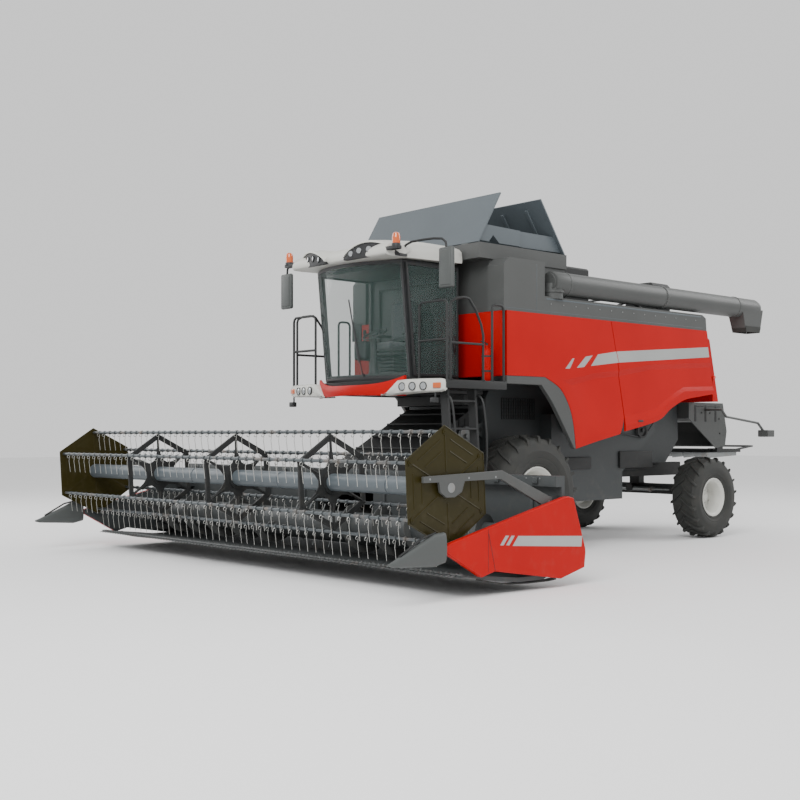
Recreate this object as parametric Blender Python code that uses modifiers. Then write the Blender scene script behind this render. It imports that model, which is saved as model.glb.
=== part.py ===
"""Combine harvester with a grain header, as an assembly of separate solids.

Units are metres, +Z is up, the machine faces -Y and its own left side is at +X.
Pieces are laid out from the front axle: Y = 0 is the axle's centre line.  One empty
then carries them all, so that the world origin lies under the middle of the machine.
"""

import math

import bpy
import bmesh
from mathutils import Matrix, Vector

# ---------------------------------------------------------------- driving sizes
GAP = 0.0003                 # working gap between faces that touch
SHEET = 0.02                 # wall of a tank, channel or hood
PANEL = 0.04                 # thickness of a side panel

FRONT_END = -4.85            # tip of the crop dividers
REAR_END = 6.85              # rear of the guard bar
WHEELBASE = 4.30

FRONT_TYRE_R = 0.84
FRONT_TYRE_W = 0.62
FRONT_RIM_R = 0.40
FRONT_TRACK = 1.25           # centre line of a front tyre from the middle
REAR_TYRE_R = 0.66
REAR_TYRE_W = 0.455
REAR_RIM_R = 0.315
REAR_TRACK = 1.344
KINGPIN_X = 1.03
WHEEL_STEPS = 24             # facets around a wheel

BODY_HALF = 1.58             # outer face of the grey side panels
BODY_FRONT = -0.76
BODY_CORE = 1.28             # half width of the tank and the engine deck
SHELF_Z = 3.60
WAIST_Z = 3.33               # line between grey and red panels
BODY_TOP = 4.07
BODY_REAR = 4.02
HOUSING_HALF = 0.80          # half width of the threshing housing

TANK_TOP = 4.28
TANK_FRONT = -0.93
TANK_REAR = 0.87
TANK_FLOOR = 2.75

LID_THICK = 0.02
LID_HALF = 1.27
WING_X = {"front": 1.235, "rear": 1.200}
WING_SHAPE = {               # reach from the hinge and rise over the tank's rim
    "front": [(0.21, 0.03), (0.30, 0.13), (0.42, 0.03), (0.845, 0.03), (0.845, 0.25)],
    "rear": [(0.905, 0.03), (0.905, 0.25)],
}

CAB_HALF = 0.90
CAB_FLOOR = 2.41
CAB_TOP = 3.98
CAB_FRONT_LOW = -1.82
CAB_FRONT_TOP = -1.97
CAB_REAR = -0.94
CAB_WALL = 0.05
ROOF_THICK = 0.26
ROOF_REAR = TANK_FRONT - 0.03
DECK_Z = 2.40                # top of the platforms

HEADER_HALF = 3.83           # inner face of the end panels
ARM_X = 3.79                 # inner face of the reel arms
ARM_W = 0.0395
END_PANEL = 0.07
KNIFE_Y = -3.74
KNIFE_Z = 0.235
HEADER_BACK = -2.19
HEADER_TOP = 1.22
THROAT_HALF = 0.62
FEEDER_HALF = 0.68
FEEDER_PIVOT = (-0.35, 1.75)
TRUNNION_R = 0.035

REEL_AXIS = (-3.953, 1.141)  # Y and Z
REEL_BAR_R = 0.569
REEL_HALF = 3.755            # inner face of the end shields
REEL_TUBE_R = 0.10
BAR_R = 0.019
BAR_COUNT = 6
BAR_PHASE = 3.2              # degrees
SPIDERS = (-1.90, 0.0, 1.90)
SPIDER_INSET = 0.012         # a spider's rim inside its arms' tips, as a share of the bars' radius
SPIDER_RIM = 0.115           # the same for the rim's inner edge
SHIELD_REACH = 1.125         # corner of an end shield, as a share of the bars' radius
ARM_PIVOT = (-2.45, 0.93)

INTAKE_AXIS = (-2.78, 0.50)
INTAKE_R = 0.30
INTAKE_DRUM_R = 0.20

AUGER_Z = 3.80
AUGER_R = 0.17
AUGER_X = 1.49
AUGER_PIVOT_Y = 0.35
AUGER_END = 5.62
SPOUT_Z = 3.40

ORIGIN_SHIFT = -(FRONT_END + REAR_END) / 2

# ---------------------------------------------------------------- finishes
FINISHES = {
    "red_paint": ((0.56, 0.010, 0.006), 0.35, 0.0),
    "grey_paint": ((0.115, 0.120, 0.118), 0.5, 0.0),
    "blue_grey": ((0.165, 0.20, 0.22), 0.45, 0.1),
    "dark_frame": ((0.025, 0.027, 0.027), 0.6, 0.1),
    "rim_white": ((0.66, 0.66, 0.62), 0.4, 0.0),
    "tyre": ((0.024, 0.025, 0.024), 0.85, 0.0),
    "glass": ((0.28, 0.42, 0.38), 0.1, 0.0),
    "off_white": ((0.62, 0.62, 0.58), 0.45, 0.0),
    "shield": ((0.030, 0.024, 0.006), 0.5, 0.0),
    "steel": ((0.30, 0.31, 0.31), 0.4, 0.8),
    "plastic": ((0.03, 0.03, 0.032), 0.6, 0.0),
    "cloth": ((0.045, 0.045, 0.05), 0.9, 0.0),
    "orange": ((0.80, 0.20, 0.01), 0.25, 0.0),
}


def clear_scene():
    """Remove every object that the scene starts with."""
    for item in list(bpy.data.objects):
        bpy.data.objects.remove(item, do_unlink=True)


def new_collection(name):
    """Return a new collection linked to the scene."""
    group = bpy.data.collections.new(name)
    bpy.context.scene.collection.children.link(group)
    return group


clear_scene()
PARTS = new_collection("combine_harvester")
CUTTERS = new_collection("cutters")
ROOT = bpy.data.objects.new("machine_origin", None)
ROOT.location = (0.0, ORIGIN_SHIFT, 0.0)
PARTS.objects.link(ROOT)


def finish(name):
    """Return the Principled material of one finish."""
    if name in bpy.data.materials:
        return bpy.data.materials[name]
    colour, roughness, metallic = FINISHES[name]
    material = bpy.data.materials.new(name)
    material.use_nodes = True
    shader = material.node_tree.nodes["Principled BSDF"]
    shader.inputs["Base Color"].default_value = (*colour, 1.0)
    shader.inputs["Roughness"].default_value = roughness
    shader.inputs["Metallic"].default_value = metallic
    return material


# ---------------------------------------------------------------- shape tools
def mesh_object(name, mesh):
    """Link a mesh as a loose object, ready to be fused or placed."""
    item = bpy.data.objects.new(name, mesh)
    CUTTERS.objects.link(item)
    return item


def block(low, high, bevel=0.0):
    """A box between two corners, with its edges rounded by bevel."""
    mesh = bpy.data.meshes.new("block")
    form = bmesh.new()
    bmesh.ops.create_cube(form, size=1.0)
    size = [high[i] - low[i] for i in range(3)]
    middle = [(high[i] + low[i]) / 2 for i in range(3)]
    bmesh.ops.scale(form, vec=size, verts=form.verts)
    bmesh.ops.translate(form, vec=middle, verts=form.verts)
    if bevel:
        bmesh.ops.bevel(form, geom=form.edges[:], offset=bevel, segments=1,
                        affect="EDGES", profile=0.5)
    form.to_mesh(mesh)
    form.free()
    return mesh_object("block", mesh)


def rod(start, end, radius, sides=12, end_radius=None):
    """A round bar between two points; a second radius makes it taper."""
    first, last = Vector(start), Vector(end)
    run = last - first
    mesh = bpy.data.meshes.new("rod")
    form = bmesh.new()
    bmesh.ops.create_cone(form, cap_ends=True, segments=sides, radius1=radius,
                          radius2=radius if end_radius is None else end_radius,
                          depth=run.length)
    turn = run.to_track_quat("Z", "Y").to_matrix().to_4x4()
    bmesh.ops.transform(form, matrix=Matrix.Translation((first + last) / 2) @ turn,
                        verts=form.verts)
    form.to_mesh(mesh)
    form.free()
    return mesh_object("rod", mesh)


def curve_to_mesh(curve_data, matrix):
    """Turn a curve into a welded mesh object and drop the curve."""
    guide = bpy.data.objects.new("guide", curve_data)
    guide.matrix_world = matrix
    CUTTERS.objects.link(guide)
    bpy.context.view_layer.update()
    evaluated = guide.evaluated_get(bpy.context.evaluated_depsgraph_get())
    mesh = bpy.data.meshes.new_from_object(evaluated)
    form = bmesh.new()
    form.from_mesh(mesh)
    bmesh.ops.remove_doubles(form, verts=form.verts, dist=0.00005)
    bmesh.ops.transform(form, matrix=matrix, verts=form.verts)
    bmesh.ops.recalc_face_normals(form, faces=form.faces)
    form.to_mesh(mesh)
    form.free()
    bpy.data.objects.remove(guide, do_unlink=True)
    return mesh_object("shape", mesh)


PLANES = {
    # the outline's two numbers become the two named axes
    "YZ": Matrix(((0, 0, 1, 0), (1, 0, 0, 0), (0, 1, 0, 0), (0, 0, 0, 1))),
    "XZ": Matrix(((1, 0, 0, 0), (0, 0, -1, 0), (0, 1, 0, 0), (0, 0, 0, 1))),
    "XY": Matrix.Identity(4),
}


def plate(outline, low, high, plane="YZ"):
    """A flat outline in a plane, as thick as low to high along the third axis."""
    data = bpy.data.curves.new("outline", "CURVE")
    data.dimensions = "2D"
    data.fill_mode = "BOTH"
    data.extrude = (high - low) / 2
    spline = data.splines.new("POLY")
    spline.points.add(len(outline) - 1)
    for point, (u, v) in zip(spline.points, outline):
        point.co = (u, v, 0.0, 1.0)
    spline.use_cyclic_u = True
    middle = (low + high) / 2
    if plane == "XZ":
        middle = -middle
    matrix = PLANES[plane] @ Matrix.Translation((0.0, 0.0, middle))
    return curve_to_mesh(data, matrix)


def tube(points, radius, resolution=2, closed=False):
    """A bent round tube through a list of points, with filled ends."""
    data = bpy.data.curves.new("route", "CURVE")
    data.dimensions = "3D"
    data.bevel_depth = radius
    data.bevel_resolution = resolution
    data.use_fill_caps = not closed
    spline = data.splines.new("POLY")
    spline.points.add(len(points) - 1)
    for point, place in zip(spline.points, points):
        point.co = (*place, 1.0)
    spline.use_cyclic_u = closed
    return curve_to_mesh(data, Matrix.Identity(4))


def turned(profile, centre, side=1, steps=36):
    """A profile of (radius, offset) turned about the X axis through a centre.

    The offset runs along +X for side 1 and along -X for side -1.
    """
    mesh = bpy.data.meshes.new("turned")
    points = [(r, 0.0, z) for r, z in profile]
    count = len(points)
    open_ends = profile[0][0] == 0.0
    edges = [(i, i + 1) for i in range(count - 1)]
    if not open_ends:
        edges.append((count - 1, 0))
    mesh.from_pydata(points, edges, [])
    item = mesh_object("turned", mesh)
    screw = item.modifiers.new("turn", "SCREW")
    screw.steps = steps
    screw.render_steps = steps
    screw.use_merge_vertices = True
    screw.merge_threshold = 0.0001
    screw.use_normal_calculate = True
    item.rotation_euler = (0.0, math.radians(90 * side), 0.0)
    item.location = centre
    return applied(item, orient=True)


def applied(item, orient=False):
    """Bake an object's modifiers and placement into a fresh loose mesh object.

    A turned or thickened surface is oriented outward as well.
    """
    bpy.context.view_layer.update()
    evaluated = item.evaluated_get(bpy.context.evaluated_depsgraph_get())
    mesh = bpy.data.meshes.new_from_object(evaluated)
    form = bmesh.new()
    form.from_mesh(mesh)
    bmesh.ops.transform(form, matrix=item.matrix_world, verts=form.verts)
    bmesh.ops.remove_doubles(form, verts=form.verts, dist=0.000002)
    seams = [edge for edge in form.edges if edge.is_boundary]
    if seams:
        bmesh.ops.holes_fill(form, edges=seams, sides=4)
    if orient:
        bmesh.ops.recalc_face_normals(form, faces=form.faces)
    form.to_mesh(mesh)
    form.free()
    bpy.data.objects.remove(item, do_unlink=True)
    return mesh_object("shape", mesh)


def combine(first, others, operation):
    """Apply one Boolean after another to a shape and drop the other shapes."""
    for other in others:
        step = first.modifiers.new("boolean", "BOOLEAN")
        step.operation = operation
        step.object = other
        step.solver = "EXACT"
        first = applied(first)
        bpy.data.objects.remove(other, do_unlink=True)
    return first


def fuse(*shapes):
    """One body from shapes that run into each other."""
    return combine(shapes[0], shapes[1:], "UNION")


def cut(shape, *cutters):
    """A shape less its cutters."""
    return combine(shape, cutters, "DIFFERENCE")


def mirrored(points, side):
    """A list of 3D points, mirrored in X for side -1."""
    return [(x * side, y, z) for x, y, z in points]


def span(side, low, high):
    """An X interval on the left (1) or the right (-1) as low and high."""
    return (low, high) if side > 0 else (-high, -low)


def node(name, shape, look, pivot=(0.0, 0.0, 0.0)):
    """Name a finished shape, give it its origin on its joint and its finish."""
    place = Vector(pivot)
    shape.data.transform(Matrix.Translation(-place))
    shape.location = place
    shape.parent = ROOT
    shape.name = name
    shape.data.name = name
    shape.data.materials.clear()
    shape.data.materials.append(finish(look))
    if look in ("tyre", "rim_white", "steel"):
        shape.data.set_sharp_from_angle(angle=math.radians(35))
    CUTTERS.objects.unlink(shape)
    PARTS.objects.link(shape)
    return shape


SIDES = ((1, "left"), (-1, "right"))


# ---------------------------------------------------------------- running gear
def build_chassis():
    """Two rails with cross members, and the posts that carry the body."""
    rails = [block((side * 0.62 - 0.06, -0.66, 1.00), (side * 0.62 + 0.06, 4.60, 1.22))
             for side in (1, -1)]
    crosses = [block((-0.60, y - 0.07, 1.03), (0.60, y + 0.07, 1.19))
               for y in (-0.30, 1.10, 2.60, WHEELBASE)]
    axle_block = block((-0.60, -0.14, 0.93), (0.60, 0.14, 1.10))
    stay_left = block((0.60, 2.70, 0.76), (0.72, 2.84, 1.10))
    stay_right = block((-0.72, 2.70, 0.76), (-0.60, 2.84, 1.10))
    pivot_lug = block((-0.10, WHEELBASE - 0.07, 0.8503), (0.10, WHEELBASE + 0.07, 1.10))
    frame = fuse(rails[0], *crosses, rails[1], axle_block, stay_left, stay_right, pivot_lug)
    node("chassis_frame", frame, "dark_frame")


def build_front_axle():
    """The driven axle under the chassis, with a hub flange at each end."""
    beam = block((-0.72, -0.12, 0.70), (0.72, 0.12, 0.9297))
    drives = [rod((side * 0.70, 0, FRONT_TYRE_R), (side * 1.0297, 0, FRONT_TYRE_R), 0.19, 20)
              for side in (1, -1)]
    gearbox = block((-0.20, -0.26, 0.66), (0.20, 0.11, 0.92), 0.02)
    node("front_axle", fuse(beam, *drives, gearbox), "dark_frame")


def tyre_profile(radius, width, rim_radius):
    """A tyre's cross section as (radius, offset), outer side first."""
    half = width / 2
    return [(radius, half * 0.62), (radius, -half * 0.62),
            (radius - 0.035, -half * 0.90), (radius - 0.10, -half),
            ((radius + rim_radius) / 2, -half), (rim_radius + GAP, -half * 0.80),
            (rim_radius + GAP, half * 0.80), ((radius + rim_radius) / 2, half),
            (radius - 0.10, half), (radius - 0.035, half * 0.90)][::-1]


def rim_profile(rim_radius, width, dish):
    """A dished wheel rim with its centre disc; offset dish is the disc's face."""
    lip = width * 0.42
    return [(0.0, dish), (0.22 * rim_radius / 0.4, dish), (rim_radius - 0.11, dish),
            (rim_radius - 0.05, lip - 0.01), (rim_radius - 0.012, lip),
            (rim_radius, lip * 0.88), (rim_radius, -lip * 0.88),
            (rim_radius - 0.012, -lip), (rim_radius - 0.05, -lip + 0.01),
            (rim_radius - 0.075, -lip + 0.04), (rim_radius - 0.13, dish - 0.03),
            (0.0, dish - 0.03)]


def build_front_wheels():
    """A tyre and a rim on each side of the front axle."""
    for side, hand in SIDES:
        centre = (side * FRONT_TRACK, 0.0, FRONT_TYRE_R)
        tyre = turned(tyre_profile(FRONT_TYRE_R, FRONT_TYRE_W, FRONT_RIM_R), centre, side,
                      WHEEL_STEPS)
        node("front_tyre_" + hand, tyre, "tyre", centre)
        dish = -0.16
        rim = turned(rim_profile(FRONT_RIM_R, FRONT_TYRE_W, dish), centre, side, WHEEL_STEPS)
        hub_face = centre[0] + side * (dish - 0.005)
        hub = rod((hub_face - side * 0.0547, 0, FRONT_TYRE_R),
                  (hub_face + side * 0.10, 0, FRONT_TYRE_R), 0.12, 20)
        node("front_rim_" + hand, fuse(rim, hub), "rim_white", centre)


def build_rear_axle():
    """The steered axle: a beam on its centre pivot, and two knuckles with arms."""
    centre_pin = rod((0, WHEELBASE - 0.22, 0.78), (0, WHEELBASE + 0.22, 0.78), 0.07, 16)
    beam = block((-0.98, WHEELBASE - 0.08, 0.68), (0.98, WHEELBASE + 0.08, 0.85))
    ends = []
    for side in (1, -1):
        ends.append(rod((side * KINGPIN_X, WHEELBASE, 0.68), (side * KINGPIN_X, WHEELBASE, 0.85),
                        0.075, 16))
    node("rear_axle", fuse(beam, centre_pin, *ends), "dark_frame")
    for side, hand in SIDES:
        pin = (side * KINGPIN_X, WHEELBASE, REAR_TYRE_R)
        fork_x = side * (KINGPIN_X + 0.078)
        upright = block((min(fork_x, fork_x + side * 0.034), WHEELBASE - 0.08, 0.57),
                        (max(fork_x, fork_x + side * 0.034), WHEELBASE + 0.08, 0.96))
        inner = side * (KINGPIN_X - 0.06)
        lower = block((min(inner, fork_x + side * 0.02), WHEELBASE - 0.06, 0.575),
                      (max(inner, fork_x + side * 0.02), WHEELBASE + 0.06, 0.6797))
        upper = block((min(inner, fork_x + side * 0.02), WHEELBASE - 0.06, 0.8503),
                      (max(inner, fork_x + side * 0.02), WHEELBASE + 0.06, 0.955))
        stub = rod((fork_x + side * 0.02, WHEELBASE, REAR_TYRE_R),
                   (side * (REAR_TRACK - 0.10), WHEELBASE, REAR_TYRE_R), 0.09, 16)
        arm = block((min(inner, inner + side * 0.06), WHEELBASE - 0.30, 0.88),
                    (max(inner, inner + side * 0.06), WHEELBASE - 0.03, 0.93))
        node("rear_knuckle_" + hand, fuse(upright, lower, upper, stub, arm), "dark_frame", pin)


def build_rear_wheels():
    """A tyre and a rim on each rear knuckle."""
    for side, hand in SIDES:
        centre = (side * REAR_TRACK, WHEELBASE, REAR_TYRE_R)
        tyre = turned(tyre_profile(REAR_TYRE_R, REAR_TYRE_W, REAR_RIM_R), centre, side,
                      WHEEL_STEPS)
        node("rear_tyre_" + hand, tyre, "tyre", centre)
        dish = -0.0697
        rim = turned(rim_profile(REAR_RIM_R, REAR_TYRE_W, dish), centre, side, WHEEL_STEPS)
        hub = rod((centre[0] + side * (dish - 0.03), WHEELBASE, REAR_TYRE_R),
                  (centre[0] + side * (dish + 0.10), WHEELBASE, REAR_TYRE_R), 0.085, 16)
        node("rear_rim_" + hand, fuse(rim, hub), "rim_white", centre)


# ---------------------------------------------------------------- body
def build_housing():
    """The threshing and cleaning housing that stands on the chassis rails."""
    outline = [(-0.30, 1.2203), (-0.30, 2.20), (0.0, TANK_FLOOR - 0.02), (3.98, TANK_FLOOR - 0.02),
               (4.30, 2.60), (4.36, 1.60), (4.00, 1.2203)]
    housing = plate(outline, -HOUSING_HALF, HOUSING_HALF)
    shoe = block((-0.5597, 1.18, 0.72), (0.5597, 2.52, 1.24), 0.0)
    fan = block((-0.5597, 0.62, 0.72), (0.5597, 1.02, 1.24), 0.0)
    shoe_left = block((0.6803, 1.30, 0.68), (1.02, 2.55, 1.24))
    shoe_right = block((-1.02, 1.30, 0.68), (-0.6803, 2.55, 1.24))
    arch_outline = [(0.86, 1.10), (0.86, 1.98), (2.40, 1.98), (3.30, 2.10), (3.42, 1.75),
                    (2.55, 1.10)]
    flank_left = plate(arch_outline, 0.78, 1.02)
    flank_right = plate(arch_outline, -1.02, -0.78)
    bearings = []
    for side in (1, -1):
        y, z = FEEDER_PIVOT
        ear = plate([(-0.28, z - 0.14), (-0.28, z + 0.14), (y - 0.05, z + 0.06),
                     (y - 0.07, z), (y - 0.05, z - 0.06)],
                    *span(side, FEEDER_HALF + 0.0103, FEEDER_HALF + 0.06))
        bore = rod((side * FEEDER_HALF, y, z), (side * (FEEDER_HALF + 0.10), y, z),
                   TRUNNION_R + 0.0007, 32)
        bearings.append(cut(ear, bore))
    housing = fuse(housing, *bearings, flank_left, flank_right, shoe_left, shoe_right, shoe, fan)
    node("separator_housing", housing, "dark_frame")


def build_engine():
    """The engine as one plain block under the rear deck."""
    node("engine_block", block((-0.62, 1.35, TANK_FLOOR - 0.0197), (0.62, 2.65, 3.30), 0.02),
         "dark_frame")


def build_tank():
    """The grain tank: an open box with a wider frame around its mouth."""
    outer = block((-BODY_CORE, -0.70, TANK_FLOOR - 0.0197), (BODY_CORE, 0.85, BODY_TOP + 0.01))
    frame = block((-BODY_CORE - 0.02, TANK_FRONT, BODY_TOP + 0.0003),
                  (BODY_CORE + 0.02, TANK_REAR, TANK_TOP))
    inner = block((-BODY_CORE + SHEET, -0.68, TANK_FLOOR + 0.02),
                  (BODY_CORE - SHEET, 0.83, BODY_TOP + 0.03))
    mouth = block((-BODY_CORE, TANK_FRONT + SHEET, BODY_TOP + 0.0203),
                  (BODY_CORE, TANK_REAR - SHEET, TANK_TOP + 0.05))
    node("grain_tank", cut(fuse(outer, frame), inner, mouth), "grey_paint")


def build_upper_panels():
    """Grey side casings: a tall front box and a long shelf behind it."""
    outline = [(BODY_FRONT, WAIST_Z + 0.02), (BODY_FRONT, BODY_TOP - 0.10),
               (BODY_FRONT + 0.10, BODY_TOP), (0.07, BODY_TOP), (0.07, SHELF_Z),
               (3.90, SHELF_Z), (BODY_REAR - 0.02, SHELF_Z - 0.05), (BODY_REAR, WAIST_Z + 0.02)]
    for side, hand in SIDES:
        low, high = span(side, BODY_CORE + GAP, BODY_HALF)
        casing = plate(outline, low, high)
        node("upper_casing_" + hand, casing, "grey_paint")


def build_front_wall():
    """The red front wall behind the cab, under the grey casings."""
    half = BODY_HALF - 0.031
    wall = block((-half, BODY_FRONT, 2.47), (half, BODY_FRONT + 0.045, WAIST_Z + 0.0197), 0.008)
    node("front_wall", wall, "red_paint")


def build_deck():
    """The engine deck with its raised covers and the air screen."""
    leg = BODY_CORE - 0.18
    arch = [(-BODY_CORE, TANK_FLOOR), (-BODY_CORE, 3.62), (BODY_CORE, 3.62),
            (BODY_CORE, TANK_FLOOR), (leg, TANK_FLOOR), (leg, 3.3003), (-leg, 3.3003),
            (-leg, TANK_FLOOR)]
    deck = plate(arch, 0.8503, BODY_REAR, "XZ")
    cover = block((-1.0, 0.8903, 3.56), (0.98, 1.80, 4.20), 0.03)
    screen = block((-BODY_CORE + 0.02, 1.90, 3.58), (-0.45, 2.90, 4.02), 0.03)
    rear_box = block((0.55, 3.20, 3.54), (1.10, 3.75, 4.12), 0.05)
    back = block((-leg - 0.05, 3.90, TANK_FLOOR + 0.01), (leg + 0.05, BODY_REAR - 0.01, 3.40))
    stack = tube([(-1.05, 3.30, 3.50), (-1.05, 3.30, 4.30), (-1.05, 3.36, 4.42),
                  (-1.05, 3.46, 4.50)], 0.07, 3)
    node("engine_deck", fuse(deck, cover, screen, rear_box, back, stack),
         "grey_paint")


def build_rear_body():
    """The straw hood, open underneath, and the red hood over the rear."""
    outline = [(4.3803, 2.2203), (5.40, 2.2203), (5.52, 1.74), (5.47, 1.49), (5.19, 1.45),
               (4.3803, 1.95)]
    hood = plate(outline, -1.0, 1.0)
    inner = [(4.42, 2.19), (5.37, 2.19), (5.48, 1.73), (5.44, 1.30), (5.19, 1.30), (4.42, 1.80)]
    cavity = plate(inner, -1.0 + SHEET, 1.0 - SHEET)
    node("straw_hood", fuse(cut(hood, cavity), *rear_light_arms()), "dark_frame")
    shell = [(BODY_REAR + GAP, 3.34), (4.27, 3.23), (4.52, 2.25), (4.52, 2.2206),
             (4.36, 2.2206), (4.36, 2.62), (BODY_REAR + GAP, 2.80)]
    node("rear_hood", plate(shell, -1.47, 1.47), "red_paint")


def build_tailboard():
    """The spreader board below the hood with its guard bar."""
    board = block((-0.85, 5.20, 1.37), (0.85, 6.20, 1.43))
    guard = tube([(0.80, 6.10, 1.41), (0.80, 6.60, 1.47), (0.70, REAR_END - 0.018, 1.47),
                  (-0.70, REAR_END - 0.018, 1.47), (-0.80, 6.60, 1.47), (-0.80, 6.10, 1.41)],
                 0.018)
    brackets = [block((side * 0.84 - 0.02, 5.21, 1.40), (side * 0.84 + 0.02, 5.42, 1.445))
                for side in (1, -1)]
    lip = [(5.22, 1.38), (5.22, 1.4543 - GAP), (5.40, 1.48 - GAP), (5.40, 1.38)]
    lips = [plate(lip, side * 0.98 - 0.02, side * 0.98 + 0.02) for side in (1, -1)]
    ties = [block((min(side * 0.84, side * 0.99), 5.24, 1.38),
                  (max(side * 0.84, side * 0.99), 5.38, 1.42)) for side in (1, -1)]
    node("tailboard", fuse(board, guard, *brackets, *ties, *lips), "dark_frame")


def rear_light_arms():
    """Bent arms on the hood's sides that carry the tail lamps."""
    shapes = []
    for side, hand in SIDES:
        route = mirrored([(0.99, 4.86, 2.10), (1.32, 4.86, 2.10), (1.35, 4.95, 1.98),
                          (1.35, 5.94, 1.88), (1.35, 6.07, 1.78), (1.35, 6.15, 1.72)], side)
        low, high = side * 1.35 - 0.10, side * 1.35 + 0.10
        shapes.append(tube(route, 0.022))
        shapes.append(block((low, 6.10, 1.64), (high, 6.32, 1.76), 0.01))
    return shapes


def build_chopper():
    """The straw chopper rotor across the hood."""
    shaft = rod((-0.9797, 4.95, 1.98), (0.9797, 4.95, 1.98), 0.09, 16)
    blades = [block((x - 0.01, 4.95 - 0.16, 1.96), (x + 0.01, 4.95 + 0.16, 2.00))
              for x in (-0.8, -0.4, 0.0, 0.4, 0.8)]
    node("chopper_rotor", fuse(shaft, *blades), "steel", (0, 4.95, 1.98))


def side_panel_outlines():
    """Outlines (Y, Z) of the front and the rear red side panels."""
    top = WAIST_Z + 0.02 - GAP
    front = [(-0.71, 2.475), (0.07, 2.48), (0.39, 2.33), (0.58, 2.10), (0.68, 1.85),
             (0.74, 1.48), (1.20, 1.58), (1.76, 1.69), (1.88, 1.93), (1.70, 2.71), (1.53, top),
             (-0.71, top)]
    rear = [(1.892, 1.73), (2.70, 1.89), (3.60, 2.22), (4.25, 2.34), (BODY_REAR, top),
            (1.542, top), (1.712, 2.71), (1.892, 1.93)]
    return {"front": front, "rear": rear}


def build_side_panels():
    """Red panels that swing up on a hinge along their top edge."""
    for side, hand in SIDES:
        low, high = span(side, BODY_HALF - 0.03, BODY_HALF - 0.03 + PANEL)
        for place, outline in side_panel_outlines().items():
            panel = plate(outline, low, high)
            node("side_panel_%s_%s" % (place, hand), panel, "red_paint",
                 (side * (BODY_HALF - 0.03 + PANEL), 0.0, WAIST_Z + 0.02 - GAP))


# ---------------------------------------------------------------- cab
def build_cab():
    """A hollow cab with its openings cut, and the glass that closes them."""
    outline = [(CAB_FRONT_LOW, CAB_FLOOR), (CAB_FRONT_TOP, CAB_TOP), (CAB_REAR, CAB_TOP),
               (CAB_REAR, CAB_FLOOR)]
    wall = CAB_WALL
    room = [(CAB_FRONT_LOW + wall, CAB_FLOOR + wall), (CAB_FRONT_TOP + wall, CAB_TOP - wall),
            (CAB_REAR - wall, CAB_TOP - wall), (CAB_REAR - wall, CAB_FLOOR + wall)]
    shell = plate(outline, -CAB_HALF, CAB_HALF)
    front = block((-CAB_HALF + 0.07, -2.20, CAB_FLOOR + 0.10), (CAB_HALF - 0.07, -1.60, CAB_TOP - 0.06))
    back = block((-0.70, -1.10, 2.90), (0.70, -0.80, 3.80))
    side_hole = [(-1.76, 2.50), (-1.89, 3.91), (-1.02, 3.91), (-1.02, 2.50)]
    shell = cut(shell, plate(room, -CAB_HALF + wall, CAB_HALF - wall), front, back,
                plate(side_hole, -1.2, 1.2))
    node("cab_shell", shell, "plastic")
    pane = [(-1.79, 2.46), (-1.94, 3.95), (-0.97, 3.95), (-0.97, 2.46)]
    node("right_window", plate(pane, -CAB_HALF - 0.0123, -CAB_HALF - GAP), "glass")
    hinge = (CAB_HALF + 0.02, CAB_FRONT_TOP - 0.012, 0.0)
    node("cab_door", plate(pane, CAB_HALF + GAP, CAB_HALF + 0.0353), "glass", hinge)


def build_windscreen():
    """The curved front glass, bowed forward in plan and leaning outward at the top."""
    columns, rows = 12, 4
    low, high = CAB_FLOOR + 0.02, CAB_TOP
    mesh = bpy.data.meshes.new("glass")
    points = []
    for row in range(rows + 1):
        t = row / rows
        z = low + (high - low) * t
        edge = CAB_FRONT_LOW + (CAB_FRONT_TOP - CAB_FRONT_LOW) * t - 0.0072
        for column in range(columns + 1):
            u = 2 * column / columns - 1
            points.append((u * (CAB_HALF - 0.002), edge - 0.30 * (1 - u * u), z))
    faces = []
    for row in range(rows):
        for column in range(columns):
            a = row * (columns + 1) + column
            faces.append((a, a + 1, a + columns + 2, a + columns + 1))
    mesh.from_pydata(points, [], faces)
    glass = mesh_object("glass", mesh)
    thick = glass.modifiers.new("thickness", "SOLIDIFY")
    thick.thickness = 0.012
    thick.offset = 0.0
    node("windscreen", applied(glass, orient=True), "glass")


def mirror_shapes():
    """Arms from the roof's sides with a mirror head on each."""
    shapes = []
    for side in (1, -1):
        arm = mirrored([(0.98, -2.05, 4.10), (1.14, -2.05, 4.17), (1.50, -1.98, 4.18),
                        (1.66, -1.94, 4.15), (1.69, -1.935, 4.03)], side)
        low, high = span(side, 1.56, 1.82)
        shapes.append(tube(arm, 0.016))
        shapes.append(block((low, -1.975, 3.53), (high, -1.90, 4.06), 0.02))
    return shapes


def beacon_shapes():
    """Brackets on the roof's front corners with a beacon on each."""
    shapes = []
    for side in (1, -1):
        low, high = span(side, 0.96, 1.20)
        shapes.append(block((low, -2.35, 4.05), (high, -2.25, 4.10), 0.01))
        foot = (side * 1.14, -2.30)
        shapes.append(rod((*foot, 4.09), (*foot, 4.27), 0.06, 16, 0.048))
    return shapes


def build_cab_roof():
    """The roof with its overhanging brow and two lamp pods."""
    roof = block((-1.00, -2.36, CAB_TOP + 0.0103), (1.00, ROOF_REAR, CAB_TOP + ROOF_THICK), 0.06)
    pods = [block((min(side * 0.55, side * 1.04), -2.42, CAB_TOP + 0.02),
                  (max(side * 0.55, side * 1.04), -2.20, CAB_TOP + 0.17), 0.02)
            for side in (1, -1)]
    seat = block((-0.60, -1.60, CAB_TOP + GAP), (0.60, -1.10, CAB_TOP + 0.10))
    node("cab_roof", fuse(roof, seat, *pods, *beacon_shapes(), *mirror_shapes()), "off_white")


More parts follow.
